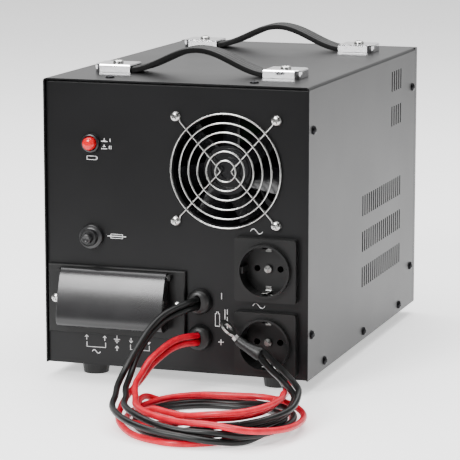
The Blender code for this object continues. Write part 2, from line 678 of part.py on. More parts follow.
def make_front_fittings():
    """Display window with its board, and the rocker switch."""
    back = CASE_D - FRONT_T
    half_w, half_h = DISPLAY_SIZE[0] / 2 - GAP, DISPLAY_SIZE[1] / 2 - GAP
    lens = box((-half_w, CASE_D - 3.0, DISPLAY_Z - half_h), (half_w, CASE_D - 0.3, DISPLAY_Z + half_h))
    round_edges(lens, edges_at(lens, lambda co: near(co.y, CASE_D - 0.3)), 0.5, 1)
    add_object("display_lens", lens, LENS)
    board = add_object("display_board", box((-56, back + 1.0, DISPLAY_Z - 30),
                                            (56, back + 2.6, DISPLAY_Z + 30)), BOARD_GREEN)
    join(board, box((-40, back + 2.0, DISPLAY_Z - 18), (40, back + 5.6, DISPLAY_Z + 18)))

    x, z = SWITCH_X, SWITCH_Z
    half_w, half_h = SWITCH_SIZE[0] / 2, SWITCH_SIZE[1] / 2
    flange = box((x - half_w - 1.6, CASE_D + GAP, z - half_h - 1.4),
                 (x + half_w + 1.6, CASE_D + 1.9, z + half_h + 1.4))
    round_edges(flange, edges_at(flange, lambda co: near(co.y, CASE_D + 1.9)), 0.6, 1)
    body = add_object("power_switch_body", flange, BLACK_PLASTIC)
    join(body, box((x - half_w + GAP, CASE_D - 16, z - half_h + GAP),
                   (x + half_w - GAP, CASE_D + 1.2, z + half_h - GAP)))
    cut(body, box((x - half_w + 1.4, CASE_D - 10, z - half_h + 1.2),
                  (x + half_w - 1.4, CASE_D + 5, z + half_h - 1.2)))
    reach, wide = half_w - 2.3, half_h - 1.6
    pivot = CASE_D - 2.0
    outline = [(-reach, pivot - 3.0), (-reach, pivot + 2.2), (-reach * 0.5, pivot + 3.4),
               (0, pivot + 4.0), (reach * 0.5, pivot + 4.2), (reach, pivot + 3.8),
               (reach, pivot - 1.6), (0, pivot - 5.0)]
    rocker = prism([(x + along, y) for along, y in outline], "Z", z - wide, z + wide)
    add_object("power_rocker", rocker, BLACK_PLASTIC, (x, pivot, z))


# ---------------------------------------------------------------- inside

def make_inside():
    """Toroidal transformer with its clamp, main board and heat sink."""
    turns = 28
    core = bmesh.new()
    held_low = SHEET + GAP
    middle = held_low + CORE_SECTION
    section = [(CORE_R + CORE_SECTION * math.cos(step), middle + CORE_SECTION * math.sin(step))
               for step in (math.tau * index / 12 for index in range(13))]
    turned(section, (CORE_X, CORE_Y, 0), (0, 0, 1), turns, into=core)
    add_object("transformer", core, COPPER_WINDING)
    top = middle + CORE_SECTION + GAP
    clamp = [(0, top + 6), (6, top + 6), (6, top + 2.5), (52, top + 2.5), (52, top), (4, top),
             (4, held_low), (0, held_low)]
    add_object("transformer_clamp", turned(clamp, (CORE_X, CORE_Y, 0), (0, 0, 1), 24), STEEL)
    add_object("main_board", box((BOARD_X, 60, held_low), (BOARD_X + 1.6, 262, 205)), BOARD_GREEN)
    fins, pitch, deep = 6, 15.0, 30.0
    low = 118.0
    sink = add_object("heat_sink", box((BOARD_X - GAP - 4, 80, low), (BOARD_X - GAP, 240, low + 79)),
                      ALUMINIUM)
    blades = bmesh.new()
    for index in range(fins):
        z = low + index * pitch
        box((BOARD_X - GAP - deep, 80.5, z + 0.5), (BOARD_X - GAP - 3.5, 239.5, z + 3.0), into=blades)
    join(sink, blades)


# ---------------------------------------------------------------- battery cables

# Out of the grommet and down ahead of the coil: the middle of each upright pair.
PAIR_DROP = {
    "black": [(20.5, 9, 57.6), (20.5, -4, 57.4), (17, -14, 57), (10, -23, 54.5), (3, -32, 50.5),
              (-4.5, -44, 41), (-9, -59, 29)],
    "red": [(20.5, 9, 28.7), (20.5, -5, 28.7), (18, -14, 30), (13, -23, 30), (8, -33, 28),
            (4, -45, 24), (0.8, -57, 19.5)],
}
# Where each cable leaves its pair for its own lane in the coil.
SPLIT = {
    "black_1": [(-12.3, -77, 18.3), (-10.5, -98, 10.5)],
    "black_2": [(-8.8, -76, 13), (-4.5, -97, 8.5)],
    "red_1": [(-0.8, -73, 14.3), (1.5, -92, 10.5)],
    "red_2": [(-2.2, -71, 9), (-3.0, -90, 4.5)],
}
# Lanes in the coil: degrees round it from the right, radius, height over the floor.
LANES = {
    "black_1": [(180, 71, 18.5), (202, 68.5, 16), (225, 66, 13.5), (247, 64, 11), (270, 62.5, 8.8),
                (292, 64, 6), (315, 61, 2.8), (337, 58, 5.2), (360, 60, 8.6), (382, 58, 7.5),
                (405, 56.5, 5.4), (427, 55, 3.5), (450, 54, 2.8), (472, 54.5, 2.8), (495, 54, 2.8),
                (518, 51.5, 2.8), (540, 48, 2.8), (562, 46, 2.8), (585, 45, 2.8), (607, 44.5, 4.6),
                (630, 45, 8), (652, 50.3, 13), (675, 57.3, 14.8), (698, 63, 17), (720, 67, 19.5)],
    "black_2": [(180, 62.5, 18.5), (202, 59.5, 17.5), (225, 57, 16), (247, 56, 13.5),
                (270, 56.5, 11.3), (292, 61, 11.3), (315, 67, 8.6), (337, 67, 8.4), (360, 66, 8.3),
                (382, 65.5, 8.3), (405, 64, 8.2), (427, 64, 5.2), (450, 65, 2.8), (472, 65.5, 2.8),
                (495, 63, 2.8), (518, 58.5, 2.8), (540, 54, 2.8), (562, 51.6, 2.8),
                (585, 50.6, 2.8), (607, 50.3, 2.9), (630, 50.5, 4), (652, 53, 7.6),
                (675, 55.5, 9.3), (698, 59.5, 12), (720, 62.5, 14.5)],
    "red_1": [(180, 55, 17.5), (202, 51, 17.3), (225, 49, 17), (247, 49, 16.5), (270, 51, 16),
              (292, 58, 16.6), (315, 73, 13.8), (337, 74, 10.5), (360, 72.5, 8.4), (382, 73, 8.2),
              (405, 73, 8.4), (427, 71.5, 9), (450, 65, 8.8), (472, 66.5, 8.3), (495, 68.3, 6.8),
              (506, 66.8, 5.6), (518, 65, 5), (540, 61, 4), (562, 58, 5.8), (585, 55, 8.6),
              (607, 46, 11), (630, 40, 13.4), (652, 45.5, 17.3), (675, 52, 18.9), (698, 53, 19.5),
              (720, 52, 20)],
    "red_2": [(180, 66, 11.5), (202, 64, 6.2), (225, 61.5, 2.8), (247, 62, 2.8), (270, 62.3, 2.8),
              (292, 57, 2.8), (315, 51, 2.8), (337, 51, 2.8), (360, 56, 2.8), (382, 64, 2.8),
              (405, 70, 2.8), (427, 72, 2.8), (450, 73, 2.8), (472, 73.5, 2.8), (495, 73.5, 3.8),
              (506, 73, 9), (518, 65, 11), (540, 54, 10.5), (562, 46, 13.2), (574, 43.5, 15.5),
              (585, 42, 18.5), (607, 41, 18.8), (630, 43, 18.9), (652, 50, 22), (675, 58, 24),
              (698, 59, 25), (720, 58, 25.3)],
}
# From the coil's right side up to the sleeve on the lug.
RISE = {
    "black_1": [(131, -93, 14.8), (123.8, -77.5, 16.3), (110.8, -61.5, 20.5), (95, -37, 21.8),
                (81.3, -20.3, 25.9)],
    "black_2": [(128, -95, 9.7), (121.3, -79, 11.2), (108.5, -63, 15.4), (92, -38, 16.6),
                (79.1, -21.9, 20.8)],
    "red_1": [(114, -93, 8), (111, -75, 3.6), (109.3, -58, 3.2), (106.7, -42.9, 2.8)],
    "red_2": [(119, -93, 12.5), (114, -74, 8.2), (111.2, -57, 8.4), (107.7, -43.6, 8.1)],
}
# Sleeve over each pair's end: points on its axis, then the eye's centre and its normal.
SLEEVE_PATH = {
    "black": [(78.3, -20.4, 24.1), (74, -19.3, 25.4), (67, -17.2, 27.9), (61.5, -15.6, 30.4),
              (57.9, -15, 32.7)],
    "red": [(106.4, -41.9, 5.8), (104.1, -38.1, 6.8), (101, -33.3, 8.1), (98, -28.4, 9.5)],
}
EYE = {
    "black": ((49.2, -14, 41.6), (0.79, -0.02, 0.61)),
    "red": ((91.5, -18, 12.3), (0.69, 0.35, 0.63)),
}


def pair_points(middle_points, side):
    """One cable of an upright pair: the pair's middle line moved half a spacing aside."""
    line = [Vector(place) for place in middle_points]
    moved = []
    for index, place in enumerate(line):
        along = line[min(index + 1, len(line) - 1)] - line[max(index - 1, 0)]
        moved.append(place + along.cross(Vector((1, 0, 0))).normalized() * side * CABLE_SPACING / 2)
    return moved


def lane_point(degrees, radius, height):
    turn = math.radians(degrees)
    return Vector((COIL_X + radius * math.cos(turn), COIL_Y + radius * math.sin(turn),
                   height - FOOT_H))


def smooth_curve(points, steps=12):
    """A curve through every point whose speed follows the spacing of the points."""
    ends = [2 * points[0] - points[1], *points, 2 * points[-1] - points[-2]]
    curve = []
    for a, b, c, d in zip(ends, ends[1:], ends[2:], ends[3:]):
        first, middle, last = ((b - a).length ** 0.5, (c - b).length ** 0.5, (d - c).length ** 0.5)
        leave = ((b - a) / first - (c - a) / (first + middle) + (c - b) / middle) * middle
        arrive = ((c - b) / middle - (d - b) / (middle + last) + (d - c) / last) * middle
        for step in range(steps):
            t = step / steps
            curve.append(b * (2 * t**3 - 3 * t**2 + 1) + leave * (t**3 - 2 * t**2 + t)
                         + c * (3 * t**2 - 2 * t**3) + arrive * (t**3 - t**2))
    curve.append(points[-1])
    return curve


def evenly_spaced(curve, count):
    """Points at equal steps along a curve."""
    reach = [0.0]
    for a, b in zip(curve, curve[1:]):
        reach.append(reach[-1] + (b - a).length)
    spaced = []
    index = 0
    for step in range(count):
        target = reach[-1] * step / (count - 1)
        while index < len(reach) - 2 and reach[index + 1] < target:
            index += 1
        share = (target - reach[index]) / (reach[index + 1] - reach[index])
        spaced.append(curve[index].lerp(curve[index + 1], share))
    return spaced


def make_cable(name, side, finish):
    """One battery cable from inside its grommet, round the coil and up to its sleeve."""
    colour = name.split("_")[0]
    keys = pair_points(PAIR_DROP[colour], side)
    keys += [Vector(place) for place in SPLIT[name]]
    keys += [lane_point(*key) for key in LANES[name]]
    keys += [Vector(place) for place in RISE[name]]
    route = evenly_spaced(smooth_curve(keys), CABLE_POINTS)
    curve = bpy.data.curves.new(f"battery_cable_{name}", "CURVE")
    curve.dimensions = "3D"
    line = curve.splines.new("POLY")
    line.points.add(CABLE_POINTS - 1)
    for place, held in zip(route, line.points):
        held.co = (*(place * MM), 1.0)
    curve.bevel_depth = CABLE_D / 2 * MM
    curve.bevel_resolution = 2
    curve.use_fill_caps = True
    cable = bpy.data.objects.new(f"battery_cable_{name}", curve)
    cable.parent = case_frame
    curve.materials.append(material(cable.name, *finish[1:]))
    PARTS.objects.link(cable)


def make_lug(colour):
    """Ring terminal: a flat eye on a short crimped barrel."""
    centre, normal = (Vector(value) for value in EYE[colour])
    tail = Vector(SLEEVE_PATH[colour][-1])
    along = (centre - tail).normalized()
    across = normal.cross(along).normalized()
    flat = along.cross(across)
    place = Matrix((along, across, flat)).transposed().to_4x4()
    place.translation = centre * MM
    half = LUG_T / 2
    sweep = [math.radians(150 - 300 * index / 20) for index in range(21)]
    outline = [(LUG_EYE_R * math.cos(turn), LUG_EYE_R * math.sin(turn)) for turn in sweep]
    outline += [(-9.5, -2.6), (-9.5, 2.6)]
    plate = prism(outline, "Z", -half, half)
    plate.transform(place)
    lug = add_object(f"cable_lug_{colour}", plate, STEEL)
    barrel = rod((-LUG_REACH + 0.8, 0, 0), (-8.4, 0, 0), 3.2, 14)
    barrel.transform(place)
    join(lug, barrel)
    hole = rod((0, 0, -4), (0, 0, 4), LUG_HOLE_R, 20)
    hole.transform(place)
    cut(lug, hole)


def make_sleeve(colour, lean):
    """Shrink sleeve that gathers the two cables, oval at first and round at the lug."""
    line = [Vector(place) for place in SLEEVE_PATH[colour]]
    mesh_data = bmesh.new()
    rings = []
    sides = 14
    for index, place in enumerate(line):
        share = index / (len(line) - 1)
        along = (line[min(index + 1, len(line) - 1)] - line[max(index - 1, 0)]).normalized()
        thin = along.cross(Vector(lean)).normalized()
        wide = thin.cross(along)
        gathered = min(share * 1.6, 1.0)
        long_r = SLEEVE_LONG_R + (SLEEVE_ROUND_R - SLEEVE_LONG_R) * gathered
        short_r = SLEEVE_SHORT_R + (SLEEVE_ROUND_R - SLEEVE_SHORT_R) * gathered
        turns = [math.tau * step / sides for step in range(sides)]
        rings.append([mesh_data.verts.new((place + wide * long_r * math.cos(turn)
                                           + thin * short_r * math.sin(turn)) * MM)
                      for turn in turns])
    for first, second in zip(rings, rings[1:]):
        for index in range(sides):
            other = (index + 1) % sides
            mesh_data.faces.new((first[index], first[other], second[other], second[index]))
    mesh_data.faces.new(rings[0])
    mesh_data.faces.new(rings[-1])
    bmesh.ops.recalc_face_normals(mesh_data, faces=mesh_data.faces)
    add_object(f"cable_sleeve_{colour}", mesh_data, BLACK_RUBBER)


def make_grommet(colour):
    """Rubber grommet in the rear panel with an upright slot for two cables."""
    x, z = GROMMET_X, GROMMET_Z[colour]
    profile = [(0, 7.0), (9.4, 7.0), (9.4, PANEL_BACK + GAP), (GROMMET_NECK, PANEL_BACK + GAP),
               (GROMMET_NECK, RECESS - GAP), (10.2, RECESS - GAP), (9.9, -1.5), (8.4, -4.4),
               (6.4, -5.0), (0, -5.0)]
    grommet = add_object(f"cable_grommet_{colour}", turned_y(profile, x, z, 24), BLACK_RUBBER)
    slot = box((x - GROMMET_SLOT_R, -10, z - CABLE_SPACING / 2),
               (x + GROMMET_SLOT_R, 12, z + CABLE_SPACING / 2))
    cut(grommet, slot)
    for sign in (-1, 1):
        middle = z + sign * CABLE_SPACING / 2
        cut(grommet, rod((x, -10, middle), (x, 12, middle), GROMMET_SLOT_R, 16))


def make_cables():
    for colour, finish in (("black", BLACK_CABLE), ("red", RED_CABLE)):
        make_grommet(colour)
        make_cable(f"{colour}_1", 1, finish)
        make_cable(f"{colour}_2", -1, finish)
        make_lug(colour)
    make_sleeve("black", (0.44, 0.31, 0.84))
    make_sleeve("red", (0.19, -0.13, 0.97))


# ---------------------------------------------------------------- build

make_top_cover()
make_base_tray()
make_rear_panel()
make_front_panel()
make_feet()
for handle_end, handle_y in HANDLE_Y.items():
    make_handle(handle_end, handle_y)
make_fan()
for socket_level, socket_z in SOCKET_Z.items():
    make_socket(socket_level, socket_z)
make_charge_button()
make_breaker()
make_terminal_block()
make_front_fittings()
make_inside()
make_cables()
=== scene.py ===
"""Looks of the power inverter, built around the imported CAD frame."""

import math
import bmesh
import bpy
from mathutils import Matrix, Vector


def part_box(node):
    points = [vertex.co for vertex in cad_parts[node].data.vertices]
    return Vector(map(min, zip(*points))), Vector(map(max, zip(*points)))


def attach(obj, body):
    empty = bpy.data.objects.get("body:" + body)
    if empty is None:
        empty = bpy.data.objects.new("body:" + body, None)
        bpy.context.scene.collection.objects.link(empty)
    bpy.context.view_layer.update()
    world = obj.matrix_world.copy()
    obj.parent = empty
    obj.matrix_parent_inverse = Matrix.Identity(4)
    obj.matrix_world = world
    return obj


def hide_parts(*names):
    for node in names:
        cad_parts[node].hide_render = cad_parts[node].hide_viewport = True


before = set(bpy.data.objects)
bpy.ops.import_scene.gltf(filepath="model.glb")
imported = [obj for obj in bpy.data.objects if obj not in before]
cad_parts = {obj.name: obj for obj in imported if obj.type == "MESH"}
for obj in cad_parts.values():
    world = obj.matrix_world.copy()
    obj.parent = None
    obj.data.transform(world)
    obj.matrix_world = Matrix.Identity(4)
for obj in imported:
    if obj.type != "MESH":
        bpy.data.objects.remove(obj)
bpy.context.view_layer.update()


# ---------------------------------------------------------------- view, floor and light
# The case stands on a pale studio floor. The room is white behind it and dim on the
# viewer's side, so its black faces stay black and only glancing faces pick up light.

MM = 0.001
cover_low, cover_high = (Vector(corner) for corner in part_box("top_cover"))
CASE_CORNER = Vector(((cover_low.x + cover_high.x) / 2, cover_low.y, cover_low.z))
CASE_H = (cover_high.z - cover_low.z) / MM
CASE_W = (cover_high.x - cover_low.x) / MM


def on_case(x, y, z):
    """A row-frame point from millimetres right, inwards and up from the rear lower edge."""
    return CASE_CORNER + Vector((x, y, z)) * MM


def srgb(hexadecimal):
    """A linear colour from an sRGB hex value such as #1b1b1c."""
    parts = [int(hexadecimal[start:start + 2], 16) / 255 for start in (1, 3, 5)]
    linear = [part / 12.92 if part <= 0.04045 else ((part + 0.055) / 1.055) ** 2.4
              for part in parts]
    return (*linear, 1.0)


def add_node(tree, kind, sockets=None, **settings):
    """Add a shader node, set its options, and fill or link its sockets."""
    node = tree.nodes.new(f"ShaderNode{kind}")
    for name, value in settings.items():
        setattr(node, name, value)
    for name, value in (sockets or {}).items():
        if isinstance(value, bpy.types.NodeSocket):
            tree.links.new(value, node.inputs[name])
        else:
            node.inputs[name].default_value = value
    return node


VIEW_TURN = math.radians(18.6)
VIEW_DOWN = math.radians(9.98)

lens = bpy.data.cameras.new("studio_camera")
lens.lens = 192.4
lens.sensor_width = 36.0
lens.shift_x = 0.0063
lens.shift_y = 0.0048
lens.clip_end = 50.0
camera = bpy.data.objects.new("studio_camera", lens)
camera.location = on_case(645.4, -1787.7, 446.5)
camera.rotation_euler = (math.pi / 2 - VIEW_DOWN, 0.0, VIEW_TURN)
bpy.context.scene.collection.objects.link(camera)
bpy.context.scene.camera = camera


def soft_light(name, place, target, size, watts):
    """A square softbox that faces a point on the case."""
    lamp = bpy.data.lights.new(name, "AREA")
    lamp.shape = "SQUARE"
    lamp.size = size
    lamp.energy = watts
    holder = bpy.data.objects.new(name, lamp)
    holder.location = on_case(*place)
    aim = on_case(*target) - holder.location
    holder.rotation_euler = aim.to_track_quat("-Z", "Y").to_euler()
    bpy.context.scene.collection.objects.link(holder)


soft_light("overhead_softbox", (-100, 300, 2000), (0, 100, 120), 2.4, 110.0)
soft_light("left_softbox", (-700, -1950, 1300), (-50, 0, 60), 0.9, 75.0)
soft_light("right_softbox", (1700, -300, 700), (100, 0, 100), 0.9, 4.0)

room = bpy.data.worlds.new("white_room")
room.use_nodes = True
room_tree = room.node_tree
direction = add_node(room_tree, "TexCoord").outputs["Generated"]
facing_way = add_node(room_tree, "SeparateXYZ", {"Vector": direction}).outputs
depth_light = add_node(room_tree, "MapRange", {
    "Value": facing_way["Y"], "From Min": -0.15, "From Max": 0.45, "To Min": 0.10, "To Max": 1.25},
    interpolation_type="SMOOTHSTEP").outputs["Result"]
side_light = add_node(room_tree, "MapRange", {
    "Value": facing_way["X"], "From Min": -0.1, "From Max": 0.4, "To Min": 1.0, "To Max": 0.45},
    interpolation_type="SMOOTHSTEP").outputs["Result"]
brightness = add_node(room_tree, "Math", {0: depth_light, 1: side_light}, operation="MULTIPLY")
room_tree.links.new(brightness.outputs["Value"], room_tree.nodes["Background"].inputs["Strength"])
room_tree.nodes["Background"].inputs["Color"].default_value = (1.0, 1.0, 1.0, 1.0)
bpy.context.scene.world = room

# Lit white sweep with the faintest unevenness. It ends in front of the case, and the
# studio floor beyond it is dark, which is what keeps the rear panel black.
SWEEP_FADE = (-0.95, -0.48)
SWEEP_GLOW = 0.75
floor_paint = bpy.data.materials.new("studio_floor_paint")
floor_paint.use_nodes = True
floor_tree = floor_paint.node_tree
floor_place = add_node(floor_tree, "TexCoord").outputs["Object"]
floor_cloud = add_node(floor_tree, "TexNoise", {"Vector": floor_place, "Scale": 3.0}).outputs["Fac"]
floor_tone = add_node(floor_tree, "ValToRGB", {"Fac": floor_cloud})
floor_tone.color_ramp.elements[0].color = srgb("#f4f4f4")
floor_tone.color_ramp.elements[1].color = srgb("#fbfbfb")
floor_reach = add_node(floor_tree, "SeparateXYZ", {"Vector": floor_place}).outputs["Y"]
sweep_mask = add_node(floor_tree, "MapRange", {
    "Value": floor_reach, "From Min": SWEEP_FADE[0], "From Max": SWEEP_FADE[1], "To Min": 0.10},
    interpolation_type="SMOOTHSTEP").outputs["Result"]
floor_colour = add_node(floor_tree, "VectorMath", {0: floor_tone.outputs["Color"],
                                                   "Scale": sweep_mask}, operation="SCALE")
floor_glow = add_node(floor_tree, "Math", {0: sweep_mask, 1: SWEEP_GLOW}, operation="MULTIPLY")
floor_shader = floor_tree.nodes["Principled BSDF"]
floor_tree.links.new(floor_colour.outputs["Vector"], floor_shader.inputs["Base Color"])
floor_tree.links.new(floor_glow.outputs["Value"], floor_shader.inputs["Emission Strength"])
floor_shader.inputs["Emission Color"].default_value = srgb("#ffffff")
floor_shader.inputs["Roughness"].default_value = 0.9
floor_shader.inputs["Specular IOR Level"].default_value = 0.1
floor_mesh_data = bmesh.new()
bmesh.ops.create_circle(floor_mesh_data, cap_ends=True, segments=96, radius=12.0)
floor_mesh = bpy.data.meshes.new("studio_floor")
floor_mesh_data.to_mesh(floor_mesh)
floor_mesh_data.free()
floor_mesh.materials.append(floor_paint)
studio_floor = bpy.data.objects.new("studio_floor", floor_mesh)
bpy.context.scene.collection.objects.link(studio_floor)


# ---------------------------------------------------------------- battery cables
# Two black and two red stranded cables in soft PVC, 5 mm across. Each pair leaves its
# grommet one above the other, lies in one and a half loose turns, and ends in one lug.

# PAIR_DROP, SPLIT and RISE are case points. Each key in LANES is a turn in degrees about
# the coil's middle, with the cable's radius there and its height above the floor.

CABLE_D = 5.0
CABLE_SPACING = 5.5
CABLE_POINTS = 220
COIL_X, COIL_Y = 66.0, -117.0
FOOT_H = cover_low.z / MM

PAIR_DROP = {
    "black": [(20.5, 9, 57.6), (20.5, -4, 57.4), (17, -14, 57), (10, -23, 54.5), (3, -32, 50.5),
              (-4.5, -44, 41), (-9, -59, 29)],
    "red": [(20.5, 9, 28.7), (20.5, -5, 28.7), (18, -14, 30), (13, -23, 30), (8, -33, 28),
            (4, -45, 24), (0.8, -57, 19.5)],
}
SPLIT = {
    "black_1": [(-12.3, -77, 18.3), (-10.5, -98, 10.5)],
    "black_2": [(-8.8, -76, 13), (-4.5, -97, 8.5)],
    "red_1": [(-0.8, -73, 14.3), (1.5, -92, 10.5)],
    "red_2": [(-2.2, -71, 9), (-3.0, -90, 4.5)],
}
LANES = {
    "black_1": [(180, 71, 18.5), (202, 68.5, 16), (225, 66, 13.5), (247, 64, 11), (270, 62.5, 8.8),
                (292, 64, 6), (315, 61, 2.8), (337, 58, 5.2), (360, 60, 8.6), (382, 58, 7.5),
                (405, 56.5, 5.4), (427, 55, 3.5), (450, 54, 2.8), (472, 54.5, 2.8), (495, 54, 2.8),
                (518, 51.5, 2.8), (540, 48, 2.8), (562, 46, 2.8), (585, 45, 2.8), (607, 44.5, 4.6),
                (630, 45, 8), (652, 50.3, 13), (675, 57.3, 14.8), (698, 63, 17), (720, 67, 19.5)],
    "black_2": [(180, 62.5, 18.5), (202, 59.5, 17.5), (225, 57, 16), (247, 56, 13.5),
                (270, 56.5, 11.3), (292, 61, 11.3), (315, 67, 8.6), (337, 67, 8.4), (360, 66, 8.3),
                (382, 65.5, 8.3), (405, 64, 8.2), (427, 64, 5.2), (450, 65, 2.8), (472, 65.5, 2.8),
                (495, 63, 2.8), (518, 58.5, 2.8), (540, 54, 2.8), (562, 51.6, 2.8),
                (585, 50.6, 2.8), (607, 50.3, 2.9), (630, 50.5, 4), (652, 53, 7.6),
                (675, 55.5, 9.3), (698, 59.5, 12), (720, 62.5, 14.5)],
    "red_1": [(180, 55, 17.5), (202, 51, 17.3), (225, 49, 17), (247, 49, 16.5), (270, 51, 16),
              (292, 58, 16.6), (315, 73, 13.8), (337, 74, 10.5), (360, 72.5, 8.4), (382, 73, 8.2),
              (405, 73, 8.4), (427, 71.5, 9), (450, 65, 8.8), (472, 66.5, 8.3), (495, 68.3, 6.8),
              (506, 66.8, 5.6), (518, 65, 5), (540, 61, 4), (562, 58, 5.8), (585, 55, 8.6),
              (607, 46, 11), (630, 40, 13.4), (652, 45.5, 17.3), (675, 52, 18.9), (698, 53, 19.5),
              (720, 52, 20)],
    "red_2": [(180, 66, 11.5), (202, 64, 6.2), (225, 61.5, 2.8), (247, 62, 2.8), (270, 62.3, 2.8),
              (292, 57, 2.8), (315, 51, 2.8), (337, 51, 2.8), (360, 56, 2.8), (382, 64, 2.8),
              (405, 70, 2.8), (427, 72, 2.8), (450, 73, 2.8), (472, 73.5, 2.8), (495, 73.5, 3.8),
              (506, 73, 9), (518, 65, 11), (540, 54, 10.5), (562, 46, 13.2), (574, 43.5, 15.5),
              (585, 42, 18.5), (607, 41, 18.8), (630, 43, 18.9), (652, 50, 22), (675, 58, 24),
              (698, 59, 25), (720, 58, 25.3)],
}
RISE = {
    "black_1": [(131, -93, 14.8), (123.8, -77.5, 16.3), (110.8, -61.5, 20.5), (95, -37, 21.8),
                (81.3, -20.3, 25.9)],
    "black_2": [(128, -95, 9.7), (121.3, -79, 11.2), (108.5, -63, 15.4), (92, -38, 16.6),
                (79.1, -21.9, 20.8)],
    "red_1": [(114, -93, 8), (111, -75, 3.6), (109.3, -58, 3.2), (106.7, -42.9, 2.8)],
    "red_2": [(119, -93, 12.5), (114, -74, 8.2), (111.2, -57, 8.4), (107.7, -43.6, 8.1)],
}


def pair_points(middle_points, side):
    """One cable of an upright pair: the pair's middle line moved half a spacing aside."""
    line = [Vector(place) for place in middle_points]
    moved = []
    for index, place in enumerate(line):
        along = line[min(index + 1, len(line) - 1)] - line[max(index - 1, 0)]
        moved.append(place + along.cross(Vector((1, 0, 0))).normalized() * side * CABLE_SPACING / 2)
    return moved


def lane_point(degrees, radius, height):
    """A case point of a lane key."""
    turn = math.radians(degrees)
    return Vector((COIL_X + radius * math.cos(turn), COIL_Y + radius * math.sin(turn),
                   height - FOOT_H))


def smooth_curve(points, steps=12):
    """A curve through every point whose speed follows the spacing of the points."""
    ends = [2 * points[0] - points[1], *points, 2 * points[-1] - points[-2]]
    curve = []
    for a, b, c, d in zip(ends, ends[1:], ends[2:], ends[3:]):
        first, middle, last = ((b - a).length ** 0.5, (c - b).length ** 0.5, (d - c).length ** 0.5)
        leave = ((b - a) / first - (c - a) / (first + middle) + (c - b) / middle) * middle
        arrive = ((c - b) / middle - (d - b) / (middle + last) + (d - c) / last) * middle
        for step in range(steps):
            t = step / steps
            curve.append(b * (2 * t**3 - 3 * t**2 + 1) + leave * (t**3 - 2 * t**2 + t)
                         + c * (3 * t**2 - 2 * t**3) + arrive * (t**3 - t**2))
    curve.append(points[-1])
    return curve


def evenly_spaced(curve, count):
    """Points at equal steps along a curve."""
    reach = [0.0]
    for a, b in zip(curve, curve[1:]):
        reach.append(reach[-1] + (b - a).length)
    spaced = []
    index = 0
    for step in range(count):
        target = reach[-1] * step / (count - 1)
        while index < len(reach) - 2 and reach[index + 1] < target:
            index += 1
        share = (target - reach[index]) / (reach[index + 1] - reach[index])
        spaced.append(curve[index].lerp(curve[index + 1], share))
    return spaced


def soft_pvc(name, colour, deep_colour, roughness, coat):
    """Extruded PVC sheath: glossy, with the slight unevenness of the strands under it."""
    made = bpy.data.materials.new(name)
    made.use_nodes = True
    tree = made.node_tree
    place = add_node(tree, "TexCoord").outputs["Object"]
    swell = add_node(tree, "TexNoise", {"Vector": place, "Scale": 160.0, "Detail": 2.0}).outputs["Fac"]
    tone = add_node(tree, "ValToRGB", {"Fac": swell})
    tone.color_ramp.elements[0].position = 0.3
    tone.color_ramp.elements[0].color = srgb(deep_colour)
    tone.color_ramp.elements[1].position = 0.7
    tone.color_ramp.elements[1].color = srgb(colour)
    scuff = add_node(tree, "TexNoise", {"Vector": place, "Scale": 900.0, "Detail": 3.0}).outputs["Fac"]
    rough = add_node(tree, "MapRange", {"Value": scuff, "To Min": roughness - 0.05,
                                        "To Max": roughness + 0.08}).outputs["Result"]
    relief = add_node(tree, "Bump", {"Height": swell, "Strength": 0.25, "Distance": 0.0004})
    shader = tree.nodes["Principled BSDF"]
    tree.links.new(tone.outputs["Color"], shader.inputs["Base Color"])
    tree.links.new(rough, shader.inputs["Roughness"])
    tree.links.new(relief.outputs["Normal"], shader.inputs["Normal"])
    shader.inputs["Specular IOR Level"].default_value = 0.3
    shader.inputs["Coat Weight"].default_value = coat
    shader.inputs["Coat Roughness"].default_value = 0.18
    return made


CABLE_FINISH = {
    "black": soft_pvc("black_pvc_sheath", "#0e0f0f", "#080808", 0.34, 0.0),
    "red": soft_pvc("red_pvc_sheath", "#d00028", "#ae001e", 0.30, 0.0),
}

cables = {}
for colour in ("black", "red"):
    for number, side in ((1, 1), (2, -1)):
        name = f"{colour}_{number}"
        keys = pair_points(PAIR_DROP[colour], side)
        keys += [Vector(place) for place in SPLIT[name]]
        keys += [lane_point(*key) for key in LANES[name]]
        keys += [Vector(place) for place in RISE[name]]
        route = evenly_spaced(smooth_curve(keys), CABLE_POINTS)
        cable_curve = bpy.data.curves.new(f"soft_cable_{name}", "CURVE")
        cable_curve.dimensions = "3D"
        cable_line = cable_curve.splines.new("POLY")
        cable_line.points.add(CABLE_POINTS - 1)
        for place, held in zip(route, cable_line.points):
            held.co = (*on_case(*place), 1.0)
        cable_curve.bevel_depth = CABLE_D / 2 * MM
        cable_curve.bevel_resolution = 6
        cable_curve.use_fill_caps = True
        cable_curve.materials.append(CABLE_FINISH[colour])
        cable = bpy.data.objects.new(f"soft_cable_{name}", cable_curve)
        bpy.context.scene.collection.objects.link(cable)
        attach(cable, "root")
        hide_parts(f"battery_cable_{name}")
        cables[name] = cable


# ---------------------------------------------------------------- lug sleeves
# Black heat-shrink tube over the crimped end of each pair: oval where it grips the two
# cables, round over the lug's barrel, and faintly wrinkled from shrinking.

SLEEVE_PATH = {
    "black": [(78.3, -20.4, 24.1), (74, -19.3, 25.4), (67, -17.2, 27.9), (61.5, -15.6, 30.4),
              (57.9, -15, 32.7)],
    "red": [(106.4, -41.9, 5.8), (104.1, -38.1, 6.8), (101, -33.3, 8.1), (98, -28.4, 9.5)],
}
SLEEVE_LEAN = {"black": (0.44, 0.31, 0.84), "red": (0.19, -0.13, 0.97)}
SLEEVE_RINGS = 15
SLEEVE_LONG_R, SLEEVE_SHORT_R = 5.7, 3.5
SLEEVE_ROUND_R = 4.1
SLEEVE_END_SHARE = 0.86


